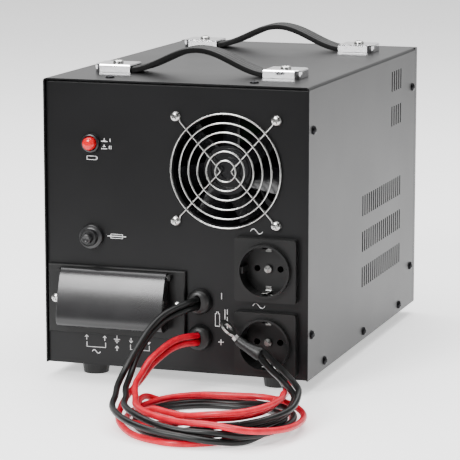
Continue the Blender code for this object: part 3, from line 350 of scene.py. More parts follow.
def grained(name, colour, deep_colour, roughness, grain_mm, relief_mm, metallic=0.0,
            cloud_mm=40.0, specular=0.5):
    """A surface with a fine grain in its relief and slow clouds in its tone and gloss."""
    made = bpy.data.materials.new(name)
    made.use_nodes = True
    tree = made.node_tree
    place = add_node(tree, "TexCoord").outputs["Object"]
    cloud = add_node(tree, "TexNoise", {"Vector": place, "Scale": 1000.0 / cloud_mm,
                                        "Detail": 4.0, "Roughness": 0.6}).outputs["Fac"]
    tone = add_node(tree, "ValToRGB", {"Fac": cloud})
    tone.color_ramp.elements[0].position = 0.25
    tone.color_ramp.elements[0].color = srgb(deep_colour)
    tone.color_ramp.elements[1].position = 0.75
    tone.color_ramp.elements[1].color = srgb(colour)
    rough = add_node(tree, "MapRange", {"Value": cloud, "To Min": max(roughness - 0.05, 0.02),
                                        "To Max": roughness + 0.05}).outputs["Result"]
    grain = add_node(tree, "TexNoise", {"Vector": place, "Scale": 1000.0 / grain_mm,
                                        "Detail": 2.0}).outputs["Fac"]
    relief = add_node(tree, "Bump", {"Height": grain, "Strength": 0.6,
                                     "Distance": relief_mm * MM})
    shader = tree.nodes["Principled BSDF"]
    tree.links.new(tone.outputs["Color"], shader.inputs["Base Color"])
    tree.links.new(rough, shader.inputs["Roughness"])
    tree.links.new(relief.outputs["Normal"], shader.inputs["Normal"])
    shader.inputs["Specular IOR Level"].default_value = specular
    shader.inputs["Metallic"].default_value = metallic
    return made


def add_piece(name, mesh_data, body, slot_name, finish, *replaced):
    """Make a visual piece from a row-frame bmesh and let it ride on a body."""
    mesh = bpy.data.meshes.new(name)
    mesh_data.to_mesh(mesh)
    mesh_data.free()
    mesh.shade_smooth()
    mesh.set_sharp_from_angle(angle=math.radians(38))
    mesh.materials.append(finish)
    piece = bpy.data.objects.new(name, mesh)
    bpy.context.scene.collection.objects.link(piece)
    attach(piece, body)
    if replaced:
        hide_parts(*replaced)
    return piece


def loft(mesh_data, loops):
    """Skin a row of ring matrices, each a circle of radius one before its matrix."""
    rings = []
    for place in loops:
        made = bmesh.ops.create_circle(mesh_data, segments=32, radius=1.0, matrix=place)
        corners = set(made["verts"])
        rings.append([edge for edge in mesh_data.edges if set(edge.verts) <= corners])
    for first, second in zip(rings, rings[1:]):
        bmesh.ops.bridge_loops(mesh_data, edges=first + second)
    bmesh.ops.edgenet_fill(mesh_data, edges=rings[0])
    bmesh.ops.edgenet_fill(mesh_data, edges=rings[-1])
    bmesh.ops.recalc_face_normals(mesh_data, faces=mesh_data.faces)
    return mesh_data


shrink_tube = grained("heat_shrink_tube", "#161616", "#0c0c0c", 0.40, 1.6, 0.25, specular=0.35)

for colour in ("black", "red"):
    keys = [Vector(place) for place in SLEEVE_PATH[colour]]
    axis_line = evenly_spaced(smooth_curve(keys), SLEEVE_RINGS)
    lean = Vector(SLEEVE_LEAN[colour])
    loops = []
    for index, place in enumerate(axis_line):
        share = min(index / (SLEEVE_RINGS - 1) * 1.6, 1.0)
        before = axis_line[max(index - 1, 0)]
        after = axis_line[min(index + 1, SLEEVE_RINGS - 1)]
        along = (after - before).normalized()
        thin = along.cross(lean).normalized()
        wide = thin.cross(along)
        end_in = SLEEVE_END_SHARE if index in (0, SLEEVE_RINGS - 1) else 1.0
        wrinkle = 1.0 + 0.02 * math.sin(index * 2.4)
        grip = end_in * wrinkle * MM
        long_r = (SLEEVE_LONG_R + (SLEEVE_ROUND_R - SLEEVE_LONG_R) * share) * grip
        short_r = (SLEEVE_SHORT_R + (SLEEVE_ROUND_R - SLEEVE_SHORT_R) * share) * grip
        turn = Matrix((wide * long_r, thin * short_r, along)).transposed().to_4x4()
        turn.translation = on_case(*place)
        loops.append(turn)
    add_piece(f"shrink_sleeve_{colour}", loft(bmesh.new(), loops), "root", "rubber_black",
              shrink_tube, f"cable_sleeve_{colour}")


# ---------------------------------------------------------------- battery lugs
# Tinned copper ring terminals for an 8 mm bolt, stamped from tube and crimped. The tin
# is dull bright and carries fine draw lines.

def worn_metal(name, colour, deep_colour, roughness, streak_mm, relief_mm):
    """Plated metal: tone and gloss shift in patches over fine uneven working marks."""
    made = bpy.data.materials.new(name)
    made.use_nodes = True
    tree = made.node_tree
    place = add_node(tree, "TexCoord").outputs["Object"]
    patch = add_node(tree, "TexNoise", {"Vector": place, "Scale": 160.0, "Detail": 5.0,
                                        "Roughness": 0.65}).outputs["Fac"]
    tone = add_node(tree, "ValToRGB", {"Fac": patch})
    tone.color_ramp.elements[0].position = 0.3
    tone.color_ramp.elements[0].color = srgb(deep_colour)
    tone.color_ramp.elements[1].position = 0.65
    tone.color_ramp.elements[1].color = srgb(colour)
    streaks = add_node(tree, "TexNoise", {"Vector": place, "Scale": 1000.0 / streak_mm,
                                          "Detail": 3.0}).outputs["Fac"]
    rough = add_node(tree, "MapRange", {"Value": streaks, "To Min": max(roughness - 0.06, 0.03),
                                        "To Max": roughness + 0.08}).outputs["Result"]
    relief = add_node(tree, "Bump", {"Height": streaks, "Strength": 0.4,
                                     "Distance": relief_mm * MM})
    shader = tree.nodes["Principled BSDF"]
    tree.links.new(tone.outputs["Color"], shader.inputs["Base Color"])
    tree.links.new(rough, shader.inputs["Roughness"])
    tree.links.new(relief.outputs["Normal"], shader.inputs["Normal"])
    shader.inputs["Metallic"].default_value = 1.0
    return made


def dress(finish, *nodes):
    """Give CAD nodes a finish."""
    for node in nodes:
        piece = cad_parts[node]
        piece.data.materials.clear()
        piece.data.materials.append(finish)


tinned_copper = worn_metal("tinned_copper", "#c9c9c6", "#8d8d8b", 0.28, 0.8, 0.05)
dress(tinned_copper, "cable_lug_black", "cable_lug_red")

for name, cable in cables.items():
    colour, number = name.split("_")
    start = pair_points(PAIR_DROP[colour], 1 if number == "1" else -1)[0]


# ---------------------------------------------------------------- cable grommets
# Moulded nitrile rubber grommets that snap into the rear panel. The upright slot in
# each one holds its two cables.

GROMMET_X = 20.5
GROMMET_Z = {"black": 57.6, "red": 28.7}

moulded_rubber = grained("moulded_rubber", "#181818", "#0e0e0e", 0.38, 0.7, 0.04, specular=0.4)


def join(mesh_data, part):
    """Move a finished bmesh into another one."""
    held = bpy.data.meshes.new("joined_part")
    part.to_mesh(held)
    part.free()
    mesh_data.from_mesh(held)
    bpy.data.meshes.remove(held)


def shift(mesh_data, geometry, offset):
    """Move the vertices among some geometry by an offset in millimetres."""
    moved = [part for part in geometry if isinstance(part, bmesh.types.BMVert)]
    bmesh.ops.translate(mesh_data, verts=moved, vec=Vector(offset) * MM)


def swept_sheet(line, x, width):
    """A sheet swept to the right from a line of case points that starts at x."""
    sheet = bmesh.new()
    row = [sheet.verts.new(on_case(x, place.y, place.z)) for place in line]
    edges = [sheet.edges.new(pair) for pair in zip(row, row[1:])]
    shift(sheet, bmesh.ops.extrude_edge_only(sheet, edges=edges)["geom"], (width, 0, 0))
    return sheet


def give_thickness(sheet, thickness):
    """Make a sheet a solid wall."""
    bmesh.ops.solidify(sheet, geom=sheet.faces[:] + sheet.edges[:] + sheet.verts[:],
                       thickness=thickness * MM)


def round_edges(piece, width):
    """Round a piece's sharp edges by a width in millimetres."""
    soft_edge = piece.modifiers.new("rounded_edges", "BEVEL")
    soft_edge.width = width * MM
    soft_edge.segments = 3
    soft_edge.limit_method = "ANGLE"
    soft_edge.angle_limit = math.radians(50)


def turned(profile, place, steps=48):
    """Spin a closed (radius, along) outline in millimetres about a matrix's Z axis."""
    part = bmesh.new()
    corners = [part.verts.new(Vector((radius, 0.0, along)) * MM) for radius, along in profile]
    edges = [part.edges.new(pair) for pair in zip(corners, corners[1:])]
    bmesh.ops.spin(part, geom=corners + edges, cent=(0, 0, 0), axis=(0, 0, 1),
                   angle=math.tau, steps=steps, use_merge=True)
    bmesh.ops.remove_doubles(part, verts=part.verts, dist=1e-6)
    bmesh.ops.recalc_face_normals(part, faces=part.faces)
    part.transform(place)
    return part


def facing(origin, axis):
    """A matrix at a case point, in millimetres, whose Z axis points along axis."""
    turn = Vector(axis).to_track_quat("Z", "Y").to_matrix().to_4x4()
    return Matrix.Translation(on_case(*origin)) @ turn


def carved(mesh_data, tool_data):
    """The first bmesh with the second cut out of it."""
    holders = []
    for label, source in (("stock", mesh_data), ("tool", tool_data)):
        mesh = bpy.data.meshes.new(label)
        source.to_mesh(mesh)
        source.free()
        holders.append(bpy.data.objects.new(label, mesh))
        bpy.context.scene.collection.objects.link(holders[-1])
    change = holders[0].modifiers.new("cut", "BOOLEAN")
    change.operation = "DIFFERENCE"
    change.solver = "EXACT"
    change.use_self = True
    change.object = holders[1]
    depsgraph = bpy.context.evaluated_depsgraph_get()
    result = bmesh.new()
    result.from_mesh(holders[0].evaluated_get(depsgraph).to_mesh())
    for holder in holders:
        mesh = holder.data
        bpy.data.objects.remove(holder)
        bpy.data.meshes.remove(mesh)
    bmesh.ops.remove_doubles(result, verts=result.verts, dist=2e-6)
    return result


SLOT_R = 3.2
SLOT_STRETCH = 1.9

for colour, z in GROMMET_Z.items():
    outline = [(0, -5.0), (5.4, -5.0), (7.2, -4.75), (8.6, -4.0), (9.5, -2.8), (9.95, -1.2),
               (10.1, 0.8), (10.2, 2.7), (8.0, 2.7), (8.0, 4.5), (9.4, 4.5), (9.4, 7.0), (0, 7.0)]
    dome = turned(outline, facing((GROMMET_X, 0, z), (0, 1, 0)))
    slot = bmesh.new()
    reach = (Matrix.Translation(on_case(GROMMET_X, 0, z))
             @ Matrix.Diagonal((1.0, 1.0, SLOT_STRETCH, 1.0)))
    bore = reach @ Matrix.Rotation(math.pi / 2, 4, "X")
    bmesh.ops.create_cone(slot, cap_ends=True, segments=44, radius1=SLOT_R * MM,
                          radius2=SLOT_R * MM, depth=30 * MM, matrix=bore)
    bmesh.ops.recalc_face_normals(slot, faces=slot.faces)
    add_piece(f"rubber_grommet_{colour}", carved(dome, slot), "root", "rubber_black",
              moulded_rubber, f"cable_grommet_{colour}")


# ---------------------------------------------------------------- case shell
# Folded 1.2 mm steel, powder-coated satin black: an even orange-peel skin that looks
# grey wherever it is seen at a glancing angle.

powder_coat = grained("satin_black_powder_coat", "#111112", "#0d0d0e", 0.34, 0.9, 0.03,
                      cloud_mm=120.0, specular=0.22)
dress(powder_coat, "top_cover", "base_tray", "rear_panel", "front_panel")


# ---------------------------------------------------------------- case screws
# Black oxide pan-head screws with a cross recess: two along the top's rear edge and
# seven up and down each side.

black_oxide = worn_metal("black_oxide_steel", "#2c2c2e", "#151516", 0.30, 0.6, 0.03)


def pan_screw(head_radius, head_height, shaft_radius, shaft_length, origin, axis):
    """A pan-head screw at a case point; axis points out of its head."""
    outline = [(0, head_height)]
    for step in range(1, 7):
        turn = math.pi / 2 * step / 6
        outline.append((head_radius * math.sin(turn), head_height * (0.25 + 0.75 * math.cos(turn))))
    outline += [(head_radius, 0), (shaft_radius, 0), (shaft_radius, -shaft_length), (0, -shaft_length)]
    head = turned(outline, Matrix.Identity(4), steps=28)
    cross = bmesh.new()
    arm = head_radius * 1.15
    for turn in (0.0, math.pi / 2):
        place = (Matrix.Rotation(turn + 0.5, 4, "Z") @ Matrix.Translation((0, 0, head_height * MM))
                 @ Matrix.Diagonal((arm * MM, head_radius * 0.24 * MM, head_height * 1.1 * MM, 1.0)))
        bmesh.ops.create_cube(cross, size=1.0, matrix=place)
    screw = carved(head, cross)
    screw.transform(facing(origin, axis))
    return screw


SIDE_SCREWS = [(12, 196), (317, 196), (316, 35.4), (10, 35.4), (46, 7), (162, 7), (278, 7)]

for number, (y, z) in enumerate(SIDE_SCREWS, 1):
    for side, sign in (("left", -1), ("right", 1)):
        screw = pan_screw(3.5, 2.2, 1.6, 3.0, (sign * (CASE_W / 2 + 0.05), y, z), (sign, 0, 0))
        add_piece(f"side_screw_{side}_{number}", screw, "root", "zinc_steel", black_oxide)
for side, x in (("left", -60), ("right", 60)):
    screw = pan_screw(3.6, 2.0, 1.6, 3.0, (x, 18, CASE_H + 0.05), (0, 0, 1))
    add_piece(f"top_screw_{side}", screw, "root", "zinc_steel", black_oxide)


# ---------------------------------------------------------------- carrying straps
# Extruded rubber straps over a flat core, ribbed lengthwise, arched between two chromed
# steel caps. A bright cross-head screw holds each cap through the strap's end.

chrome_plate = worn_metal("chrome_plate", "#f2f2f3", "#e2e2e4", 0.09, 1.5, 0.01)
bright_zinc = worn_metal("bright_zinc_steel", "#d2d2cf", "#a5a5a4", 0.22, 0.5, 0.03)
strap_rubber = grained("ribbed_strap_rubber", "#0f0f0f", "#090909", 0.42, 0.8, 0.03,
                       specular=0.25)

STRAP_W = 24.0
STRAP_T = 4.6
STRAP_FOOT = 60.0
STRAP_RISE = 18.0
STRAP_LOW = CASE_H + 0.3
RIB_PITCH = 6.0
RIB_RISE = 0.45
EDGE_DROP = 1.1
STRAP_PLAY = 0.6
SCREW_X = 71.0


def strap_height(x):
    """Height of the arch above the strap's flat ends."""
    if abs(x) >= STRAP_FOOT:
        return 0.0
    return STRAP_RISE * math.cos(math.pi * x / (2 * STRAP_FOOT)) ** 2


for end in ("rear", "front"):
    low, high = (Vector(corner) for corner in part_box(f"handle_strap_{end}"))
    middle_y = ((low + high) / 2 - CASE_CORNER).y / MM
    band = bmesh.new()
    bmesh.ops.create_grid(band, x_segments=72, y_segments=32, size=0.5)
    for vert in band.verts:
        x = vert.co.x * (high.x - low.x) / MM
        across = vert.co.y * (STRAP_W - STRAP_PLAY)
        edge_round = EDGE_DROP * (abs(across) / (STRAP_W / 2)) ** 6
        rib = RIB_RISE * math.cos(across / RIB_PITCH * math.tau) if abs(x) < STRAP_FOOT else 0.0
        vert.co = on_case(x, middle_y + across, STRAP_LOW + strap_height(x) + STRAP_T
                          - RIB_RISE - edge_round + rib)
    bmesh.ops.recalc_face_normals(band, faces=band.faces)
    strap = add_piece(f"rubber_strap_{end}", band, "root", "rubber_black", strap_rubber,
                      f"handle_strap_{end}")
    wall = strap.modifiers.new("thickness", "SOLIDIFY")
    wall.thickness = (STRAP_T - STRAP_PLAY) * MM
    wall.offset = -1.0
    round_edges(strap, 0.9)
    for side, sign in (("left", -1), ("right", 1)):
        cap = f"handle_cap_{end}_{side}"
        dress(chrome_plate, cap)
        cap_top = (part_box(cap)[1][2] - CASE_CORNER.z) / MM
        screw = pan_screw(4.4, 2.6, 2.4, 10.0, (sign * SCREW_X, middle_y, cap_top + 0.05), (0, 0, 1))
        add_piece(f"strap_screw_{end}_{side}", screw, "root", "zinc_steel", bright_zinc,
                  f"handle_screw_{end}_{side}")


# ---------------------------------------------------------------- cooling fan
# A 92 mm axial fan moulded in glossy black plastic, with a welded wire guard in front.
# Two V-shaped wires carry the rings and loop round the four cross-head screws.

FAN_X, FAN_Z = 42.0, 162.3
FAN_HOLES = 82.5
GUARD_RINGS = (45.0, 37.7, 30.4, 23.0, 15.6, 8.4)
GUARD_WIRE = 1.5
PANEL_Y = 3.0
GUARD_GAP = 0.3
WELD_SINK = 0.3
SCREW_LOOP_R = 3.3
SCREW_LOOP_GAP = math.radians(24)

glossy_plastic = grained("glossy_black_plastic", "#18181a", "#0c0c0d", 0.16, 2.0, 0.02)
dress(glossy_plastic, "fan_frame", "fan_rotor")


def wire(lines, name, finish, slot_name, radius, *replaced, body="root"):
    """Round wire along rows of case points; a row that ends where it starts is closed."""
    curve = bpy.data.curves.new(name, "CURVE")
    curve.dimensions = "3D"
    curve.bevel_depth = radius * MM
    curve.bevel_resolution = 4
    curve.use_fill_caps = True
    for line in lines:
        closed = (Vector(line[0]) - Vector(line[-1])).length < 1e-6
        places = line[:-1] if closed else line
        strand = curve.splines.new("POLY")
        strand.points.add(len(places) - 1)
        strand.use_cyclic_u = closed
        for place, held in zip(places, strand.points):
            held.co = (*on_case(*place), 1.0)
    curve.materials.append(finish)
    piece = bpy.data.objects.new(name, curve)
    bpy.context.scene.collection.objects.link(piece)
    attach(piece, body)
    if replaced:
        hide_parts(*replaced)
    return piece


arm_y = PANEL_Y - GUARD_GAP - GUARD_WIRE / 2
ring_y = arm_y - GUARD_WIRE + WELD_SINK
guard_lines = []
for radius in GUARD_RINGS:
    steps = 96 if radius > 20 else 48
    turns = [math.tau * index / steps for index in range(steps)]
    ring = [(FAN_X + radius * math.cos(turn), ring_y, FAN_Z + radius * math.sin(turn))
            for turn in turns]
    guard_lines.append(ring + ring[:1])
for sign in (-1, 1):
    arms = []
    for rise in (1, -1):
        hole = Vector((sign * FAN_HOLES / 2, rise * FAN_HOLES / 2))
        bend = Vector((sign * 5.4, rise * 1.5))
        inward = (bend - hole).normalized()
        start = math.atan2(inward.y, inward.x)
        loop = []
        for step in range(25):
            swing = SCREW_LOOP_GAP + (math.tau - 2 * SCREW_LOOP_GAP) * step / 24
            turn = start + rise * sign * swing
            loop.append(hole + SCREW_LOOP_R * Vector((math.cos(turn), math.sin(turn))))
        arms.append(loop + [hole + inward * 5.2, hole + (bend - hole) * 0.5, bend])
    line = arms[0] + [Vector((sign * 4.6, 0.0))] + arms[1][::-1]
    guard_lines.append([(FAN_X + place.x, arm_y, FAN_Z + place.y) for place in line])
wire(guard_lines, "wire_fan_guard", bright_zinc, "zinc_steel", GUARD_WIRE / 2, "fan_guard")

for number, (sx, sz) in enumerate(((-1, -1), (-1, 1), (1, -1), (1, 1)), 1):
    place = (FAN_X + sx * FAN_HOLES / 2, arm_y - GUARD_WIRE / 2 - 0.05, FAN_Z + sz * FAN_HOLES / 2)
    screw = pan_screw(3.9, 2.2, 1.7, 14.0, place, (0, -1, 0))
    add_piece(f"fan_guard_screw_{number}", screw, "root", "zinc_steel", bright_zinc,
              f"fan_screw_{number}")


# ---------------------------------------------------------------- mains sockets
# Two round earthed sockets in matt black thermoplastic. Sprung steel earth clips lie in
# the top and bottom of each well and a screw between the pin holes holds it together.

matt_plastic = grained("matt_black_plastic", "#181818", "#0f0f0f", 0.36, 0.5, 0.02, specular=0.25)
spring_steel = worn_metal("spring_steel", "#8c8c8a", "#555554", 0.28, 0.5, 0.02)
dress(matt_plastic, "socket_upper", "socket_lower")
dress(spring_steel, "socket_screw_upper", "socket_screw_lower")

SOCKET_X = 76.0
CLIP_W = 4.6
CLIP_T = 0.4

for level in ("upper", "lower"):
    low, high = (Vector(corner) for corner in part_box(f"earth_clip_{level}"))
    z = ((low + high) / 2 - CASE_CORNER).z / MM
    reach = (high.z - low.z) / 2 / MM
    lip, floor = ((corner - CASE_CORNER).y / MM for corner in (low, high))
    clips = bmesh.new()
    for sign in (-1, 1):
        spring = [(lip + 0.3, reach - 1.7), (lip + 1.8, reach - 0.5), (lip + 4.5, reach - 1.6),
                  (floor - 2.0, reach - 1.1), (floor - 0.6, reach - 2.0), (floor - 0.5, reach - 5.4)]
        bend_line = evenly_spaced(smooth_curve([Vector((0, y, z + sign * up)) for y, up in spring]), 24)
        tab = swept_sheet(bend_line, SOCKET_X - CLIP_W / 2, CLIP_W)
        give_thickness(tab, CLIP_T)
        bmesh.ops.recalc_face_normals(tab, faces=tab.faces)
        join(clips, tab)
    add_piece(f"earth_spring_clips_{level}", clips, "root", "zinc_steel", spring_steel,
              f"earth_clip_{level}")


# ---------------------------------------------------------------- charge button and breaker
# A gloss red latching push button in a black bushing, and under it the dished cap and
# dress nut of a resettable thermal breaker.

CONTROL_X = -70.5
CHARGE_Z = 179.4
BREAKER_Z = 104.4

gloss_red = grained("gloss_red_plastic", "#e00a1c", "#b8000f", 0.14, 3.0, 0.01)
semi_gloss = grained("semi_gloss_black_plastic", "#222223", "#151516", 0.28, 0.8, 0.015)

dome_outline = [(0, 5.8), (1.6, 5.74), (3.0, 5.45), (4.1, 4.9), (4.85, 4.1), (5.2, 3.2),
                (5.3, 2.2), (5.3, -12.5), (0, -12.5)]
dome = turned(dome_outline, facing((CONTROL_X, 0, CHARGE_Z), (0, -1, 0)), 64)
add_piece("charge_button_dome", dome, "charge_button", "red_plastic", gloss_red, "charge_button")
bush_outline = [(5.7, -0.4), (5.75, 0.2), (6.1, 0.6), (6.6, 0.55), (7.2, 0.2), (7.4, -0.4),
                (7.4, -2.7), (6.2, -2.7), (6.2, -22), (0, -22), (0, -16), (5.7, -16), (5.7, -0.4)]
bush = turned(bush_outline, facing((CONTROL_X, 0, CHARGE_Z), (0, -1, 0)), 64)
add_piece("charge_switch_bushing", bush, "root", "black_plastic", semi_gloss, "charge_switch_body")

cap_outline = [(0, 10.4), (1.8, 10.7), (2.9, 11.15), (3.4, 11.1), (3.8, 10.8), (4.0, 10.3),
               (4.0, -11), (0, -11)]
cap = turned(cap_outline, facing((CONTROL_X, 0, BREAKER_Z), (0, -1, 0)), 56)
add_piece("breaker_button_cap", cap, "breaker_button", "black_plastic", semi_gloss,
          "breaker_button")
nut_outline = [(6.1, 6.6), (6.5, 6.6), (6.8, 6.2), (6.8, 1.5), (7.2, 1.3), (9.2, 1.1),
               (9.7, 0.6), (9.7, -2.7), (6.1, -2.7), (6.1, 6.6)]
nut = turned(nut_outline, facing((CONTROL_X, 0, BREAKER_Z), (0, -1, 0)), 56)
add_piece("breaker_dress_nut", nut, "root", "black_plastic", semi_gloss, "breaker_nut")
dress(semi_gloss, "breaker_body")


# ---------------------------------------------------------------- AC terminal cover
# A hinged flap pressed to a smooth curve, satin black, over a moulded base with a
# barrier strip. Its cheeks close the ends and its lower lip turns back to the base.

FLAP_PROFILE = [(-3.6, 79.6), (-6.2, 79.8), (-9.6, 76.0), (-13.6, 66.0), (-17.0, 53.0),
                (-19.0, 41.0), (-18.8, 37.6), (-17.0, 35.0), (-13.6, 33.4)]
FLAP_LEFT, FLAP_RIGHT = -94.0, -4.0
FLAP_SKIN_T = 1.3
FLAP_SIDE_PLAY = 0.4
CHEEK_T = 1.5
CHEEK_BACK_Y = -2.4

flap_plastic = grained("satin_flap_plastic", "#202021", "#181819", 0.24, 1.2, 0.02)
dress(matt_plastic, "terminal_base", "terminal_strip")
dress(bright_zinc, "terminal_hinge_pin")

flap_line = evenly_spaced(smooth_curve([Vector((0, y + 0.4, z)) for y, z in FLAP_PROFILE]), 40)
skin = swept_sheet(flap_line, FLAP_LEFT + FLAP_SIDE_PLAY, FLAP_RIGHT - FLAP_LEFT - 2 * FLAP_SIDE_PLAY)
bmesh.ops.recalc_face_normals(skin, faces=skin.faces)
if sum(face.normal.y * face.calc_area() for face in skin.faces) > 0:
    bmesh.ops.reverse_faces(skin, faces=skin.faces)
give_thickness(skin, FLAP_SKIN_T)
for x in (FLAP_LEFT + 0.5, FLAP_RIGHT - 0.5 - CHEEK_T):
    cheek = bmesh.new()
    rim = [cheek.verts.new(on_case(x, min(place.y + 0.6, CHEEK_BACK_Y), place.z))
           for place in flap_line]
    rim.append(cheek.verts.new(on_case(x, CHEEK_BACK_Y, 34.0)))
    cheek.faces.new(rim)
    grown = bmesh.ops.extrude_face_region(cheek, geom=cheek.faces[:])["geom"]
    shift(cheek, grown, (CHEEK_T, 0, 0))
    bmesh.ops.recalc_face_normals(cheek, faces=cheek.faces)
    join(skin, cheek)
flap = add_piece("terminal_flap_shell", skin, "terminal_flap", "black_plastic", flap_plastic,
                 "terminal_cover")
round_edges(flap, 0.35)

WAYS = 7
WALL_T = 2.0
WALL_RISE = 3.2
SCREW_ROWS = {"upper": 61.0, "lower": 49.5}
strip_low, strip_high = ((Vector(corner) - CASE_CORNER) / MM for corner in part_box("terminal_strip"))
way_pitch = (strip_high.x - strip_low.x - WALL_T) / WAYS
way_face = strip_high.y - WALL_RISE
for way in range(WAYS):
    x = strip_low.x + WALL_T / 2 + way_pitch * (way + 0.5)
    for row, z in SCREW_ROWS.items():
        screw = pan_screw(2.7, 1.3, 1.4, 2.4, (x, way_face - 0.05, z), (0, -1, 0))
        add_piece(f"terminal_way_screw_{row}_{way + 1}", screw, "root", "zinc_steel", bright_zinc)

for side, x in (("left", -100.5), ("right", 2.5)):
    screw = pan_screw(3.6, 2.3, 1.7, 11.0, (x, -1.05, 53.5), (0, -1, 0))
    add_piece(f"terminal_flange_screw_{side}", screw, "root", "zinc_steel", bright_zinc,
              f"terminal_screw_{side}")


# ---------------------------------------------------------------- front panel fittings
# A smoked acrylic window over the display board, and a black rocker switch marked with
# the usual I and O.

acrylic = grained("smoked_acrylic", "#0b1015", "#070b10", 0.06, 4.0, 0.004)
dress(acrylic, "display_lens")
dress(semi_gloss, "power_switch_body", "power_rocker")

lens_low, lens_high = (Vector(corner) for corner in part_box("display_lens"))
window = (lens_low + lens_high) / 2
FRAME_EDGE = 3.2
FRAME_RISE = 0.9
frame_data = bmesh.new()
for reach in (0.2, FRAME_EDGE):
    rim = bmesh.ops.create_grid(frame_data, x_segments=1, y_segments=1, size=0.5)["verts"]
    size = lens_high - lens_low
    place = (Matrix.Translation((window.x, lens_high.y + 0.35 * MM, window.z))
             @ Matrix.Rotation(-math.pi / 2, 4, "X")
             @ Matrix.Diagonal((size.x + 2 * reach * MM, size.z + 2 * reach * MM, 1.0, 1.0)))
    bmesh.ops.transform(frame_data, matrix=place, verts=rim)
bmesh.ops.delete(frame_data, geom=frame_data.faces[:], context="FACES_ONLY")
bmesh.ops.bridge_loops(frame_data, edges=frame_data.edges[:])
bmesh.ops.recalc_face_normals(frame_data, faces=frame_data.faces)
raised = bmesh.ops.extrude_face_region(frame_data, geom=frame_data.faces[:])["geom"]
shift(frame_data, raised, (0, FRAME_RISE, 0))
bmesh.ops.recalc_face_normals(frame_data, faces=frame_data.faces)
add_piece("display_window_frame", frame_data, "root", "black_plastic", semi_gloss)


# ---------------------------------------------------------------- feet
# Turned rubber feet under the tray, lightly textured.

dress(moulded_rubber, "foot_rear_left", "foot_rear_right", "foot_front_left", "foot_front_right")


# ---------------------------------------------------------------- inside
# Toroidal transformer with its dished clamp, a green glass-fibre main board, and an
# extruded aluminium heat sink. They are seen only through the fan and the vents.

enamel_wire = grained("enamelled_copper_wire", "#a4562a", "#6f3216", 0.30, 1.4, 0.3, metallic=0.8)
fibre_board = grained("green_circuit_board", "#1f5a33", "#153f24", 0.38, 1.8, 0.05)
extruded_aluminium = worn_metal("extruded_aluminium", "#c4c5c7", "#a2a3a6", 0.34, 0.7, 0.04)
dress(enamel_wire, "transformer")
dress(bright_zinc, "transformer_clamp")
dress(fibre_board, "main_board", "display_board")
dress(extruded_aluminium, "heat_sink")


# ---------------------------------------------------------------- printed symbols
# White screen print on the rear panel, each stroke a thin raised bar: waves for
# alternating current, batteries, plus and minus, arrows, an earth mark, a fuse, and the
# button's two states. The rocker carries the usual I and O.

white_ink = grained("white_screen_print", "#e4e4e4", "#cfcfcf", 0.55, 0.5, 0.01)
PRINT_Y = PANEL_Y - 0.03
STROKE_R = 0.32

wave = [(-5 + index / 2, 1.9 * math.sin(math.tau * index / 20)) for index in range(21)]
cell = [(-1.8, -5), (1.8, -5), (1.8, 5), (0.8, 5), (0.8, 6.4), (-0.8, 6.4), (-0.8, 5), (-1.8, 5),
        (-1.8, -5)]
up_arrow = [[(0, -1.9), (0, 1.9)], [(-1.4, 0.4), (0, 2.0), (1.4, 0.4)]]
bracket = [[(-8, 2), (-8, -2), (8, -2), (8, 2)]]
earth = [[(0, 3), (0, 0)], [(-2.6, 0), (2.6, 0)], [(-1.7, -1.4), (1.7, -1.4)],
         [(-0.7, -2.8), (0.7, -2.8)]]
plus = [[(-2.2, 0), (2.2, 0)], [(0, -2.2), (0, 2.2)]]
fuse = [[(-5, 1.6), (5, 1.6), (5, -1.6), (-5, -1.6), (-5, 1.6)], [(-8, 0), (8, 0)]]
pressed = [[(-2.6, -1.2), (2.6, -1.2)], [(-1.1, -0.5), (1.1, -0.5)], [(0, -0.5), (0, 1.4)]]
released = [[(-2.6, -1.2), (2.6, -1.2)], [(-1.1, 0.5), (1.1, 0.5)], [(0, 0.5), (0, 2.0)]]
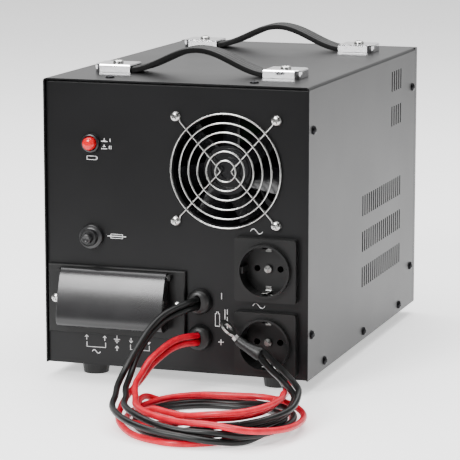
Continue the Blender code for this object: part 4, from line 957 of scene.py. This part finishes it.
SYMBOLS = [
    ((38.2, 62.9), [[(0, -2.5), (0, 2.5)]]),
    ((37.7, 25.9), plus),
    ((34.8, 43.5), [cell]),
    ((41.0, 44.5), [[(0, -8), (0, 8)], [(2, -8), (2, -4)], [(2, -2), (2, 2)], [(2, 4), (2, 8)]]),
    ((67, 116), [wave]),
    ((69, 57), [wave]),
    ((-49.5, 105.5), fuse),
    ((-70, 167.5), [[(-4.2, -1.4), (-4.2, 1.4), (3.6, 1.4), (3.6, 0.6), (4.6, 0.6), (4.6, -0.6),
                     (3.6, -0.6), (3.6, -1.4), (-4.2, -1.4)]]),
    ((-59.5, 182.2), pressed),
    ((-54.5, 182.2), [[(0, -1.3), (0, 1.3)]]),
    ((-59.5, 176.4), released),
    ((-54.5, 176.4), [[(-0.7, -1.3), (-0.7, 1.3)], [(0.8, -1.3), (0.8, 1.3)]]),
    ((-76, 22), up_arrow),
    ((-60.5, 22), up_arrow),
    ((-67.8, 16.5), bracket),
    ((-67.8, 10.8), [[(x * 0.7, z * 0.7) for x, z in wave]]),
    ((-50, 22), earth),
    ((-50, 14.5), up_arrow),
    ((-38, 22), [[(x, -z) for x, z in line] for line in up_arrow]),
    ((-23, 22), [[(x, -z) for x, z in line] for line in up_arrow]),
    ((-30.5, 16.5), bracket),
]
for number, ((x, z), lines) in enumerate(SYMBOLS, 1):
    placed = [[(x + dx, PRINT_Y, z + dz) for dx, dz in line] for line in lines]
    wire(placed, f"printed_symbol_{number}", white_ink, "black_plastic", STROKE_R)

rocker_low, rocker_high = ((Vector(corner) - CASE_CORNER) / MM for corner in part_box("power_rocker"))
rocker_x, rocker_z = (rocker_low.x + rocker_high.x) / 2, (rocker_low.z + rocker_high.z) / 2
MARK_OUT = 4.2
MARK_R = 1.3
MARK_STROKE_R = 0.25
on_y, off_y = rocker_high.y - 0.1, rocker_high.y - 0.85
off_turns = [math.tau * index / 24 for index in range(24)]
off_mark = [(rocker_x - MARK_OUT + MARK_R * math.cos(turn), off_y, rocker_z + MARK_R * math.sin(turn))
            for turn in off_turns]
on_mark = [(rocker_x + MARK_OUT, on_y, rocker_z + end * MARK_R) for end in (-1, 1)]
wire([on_mark, off_mark + off_mark[:1]], "rocker_on_and_off_marks", white_ink, "black_plastic",
     MARK_STROKE_R, body="power_rocker")
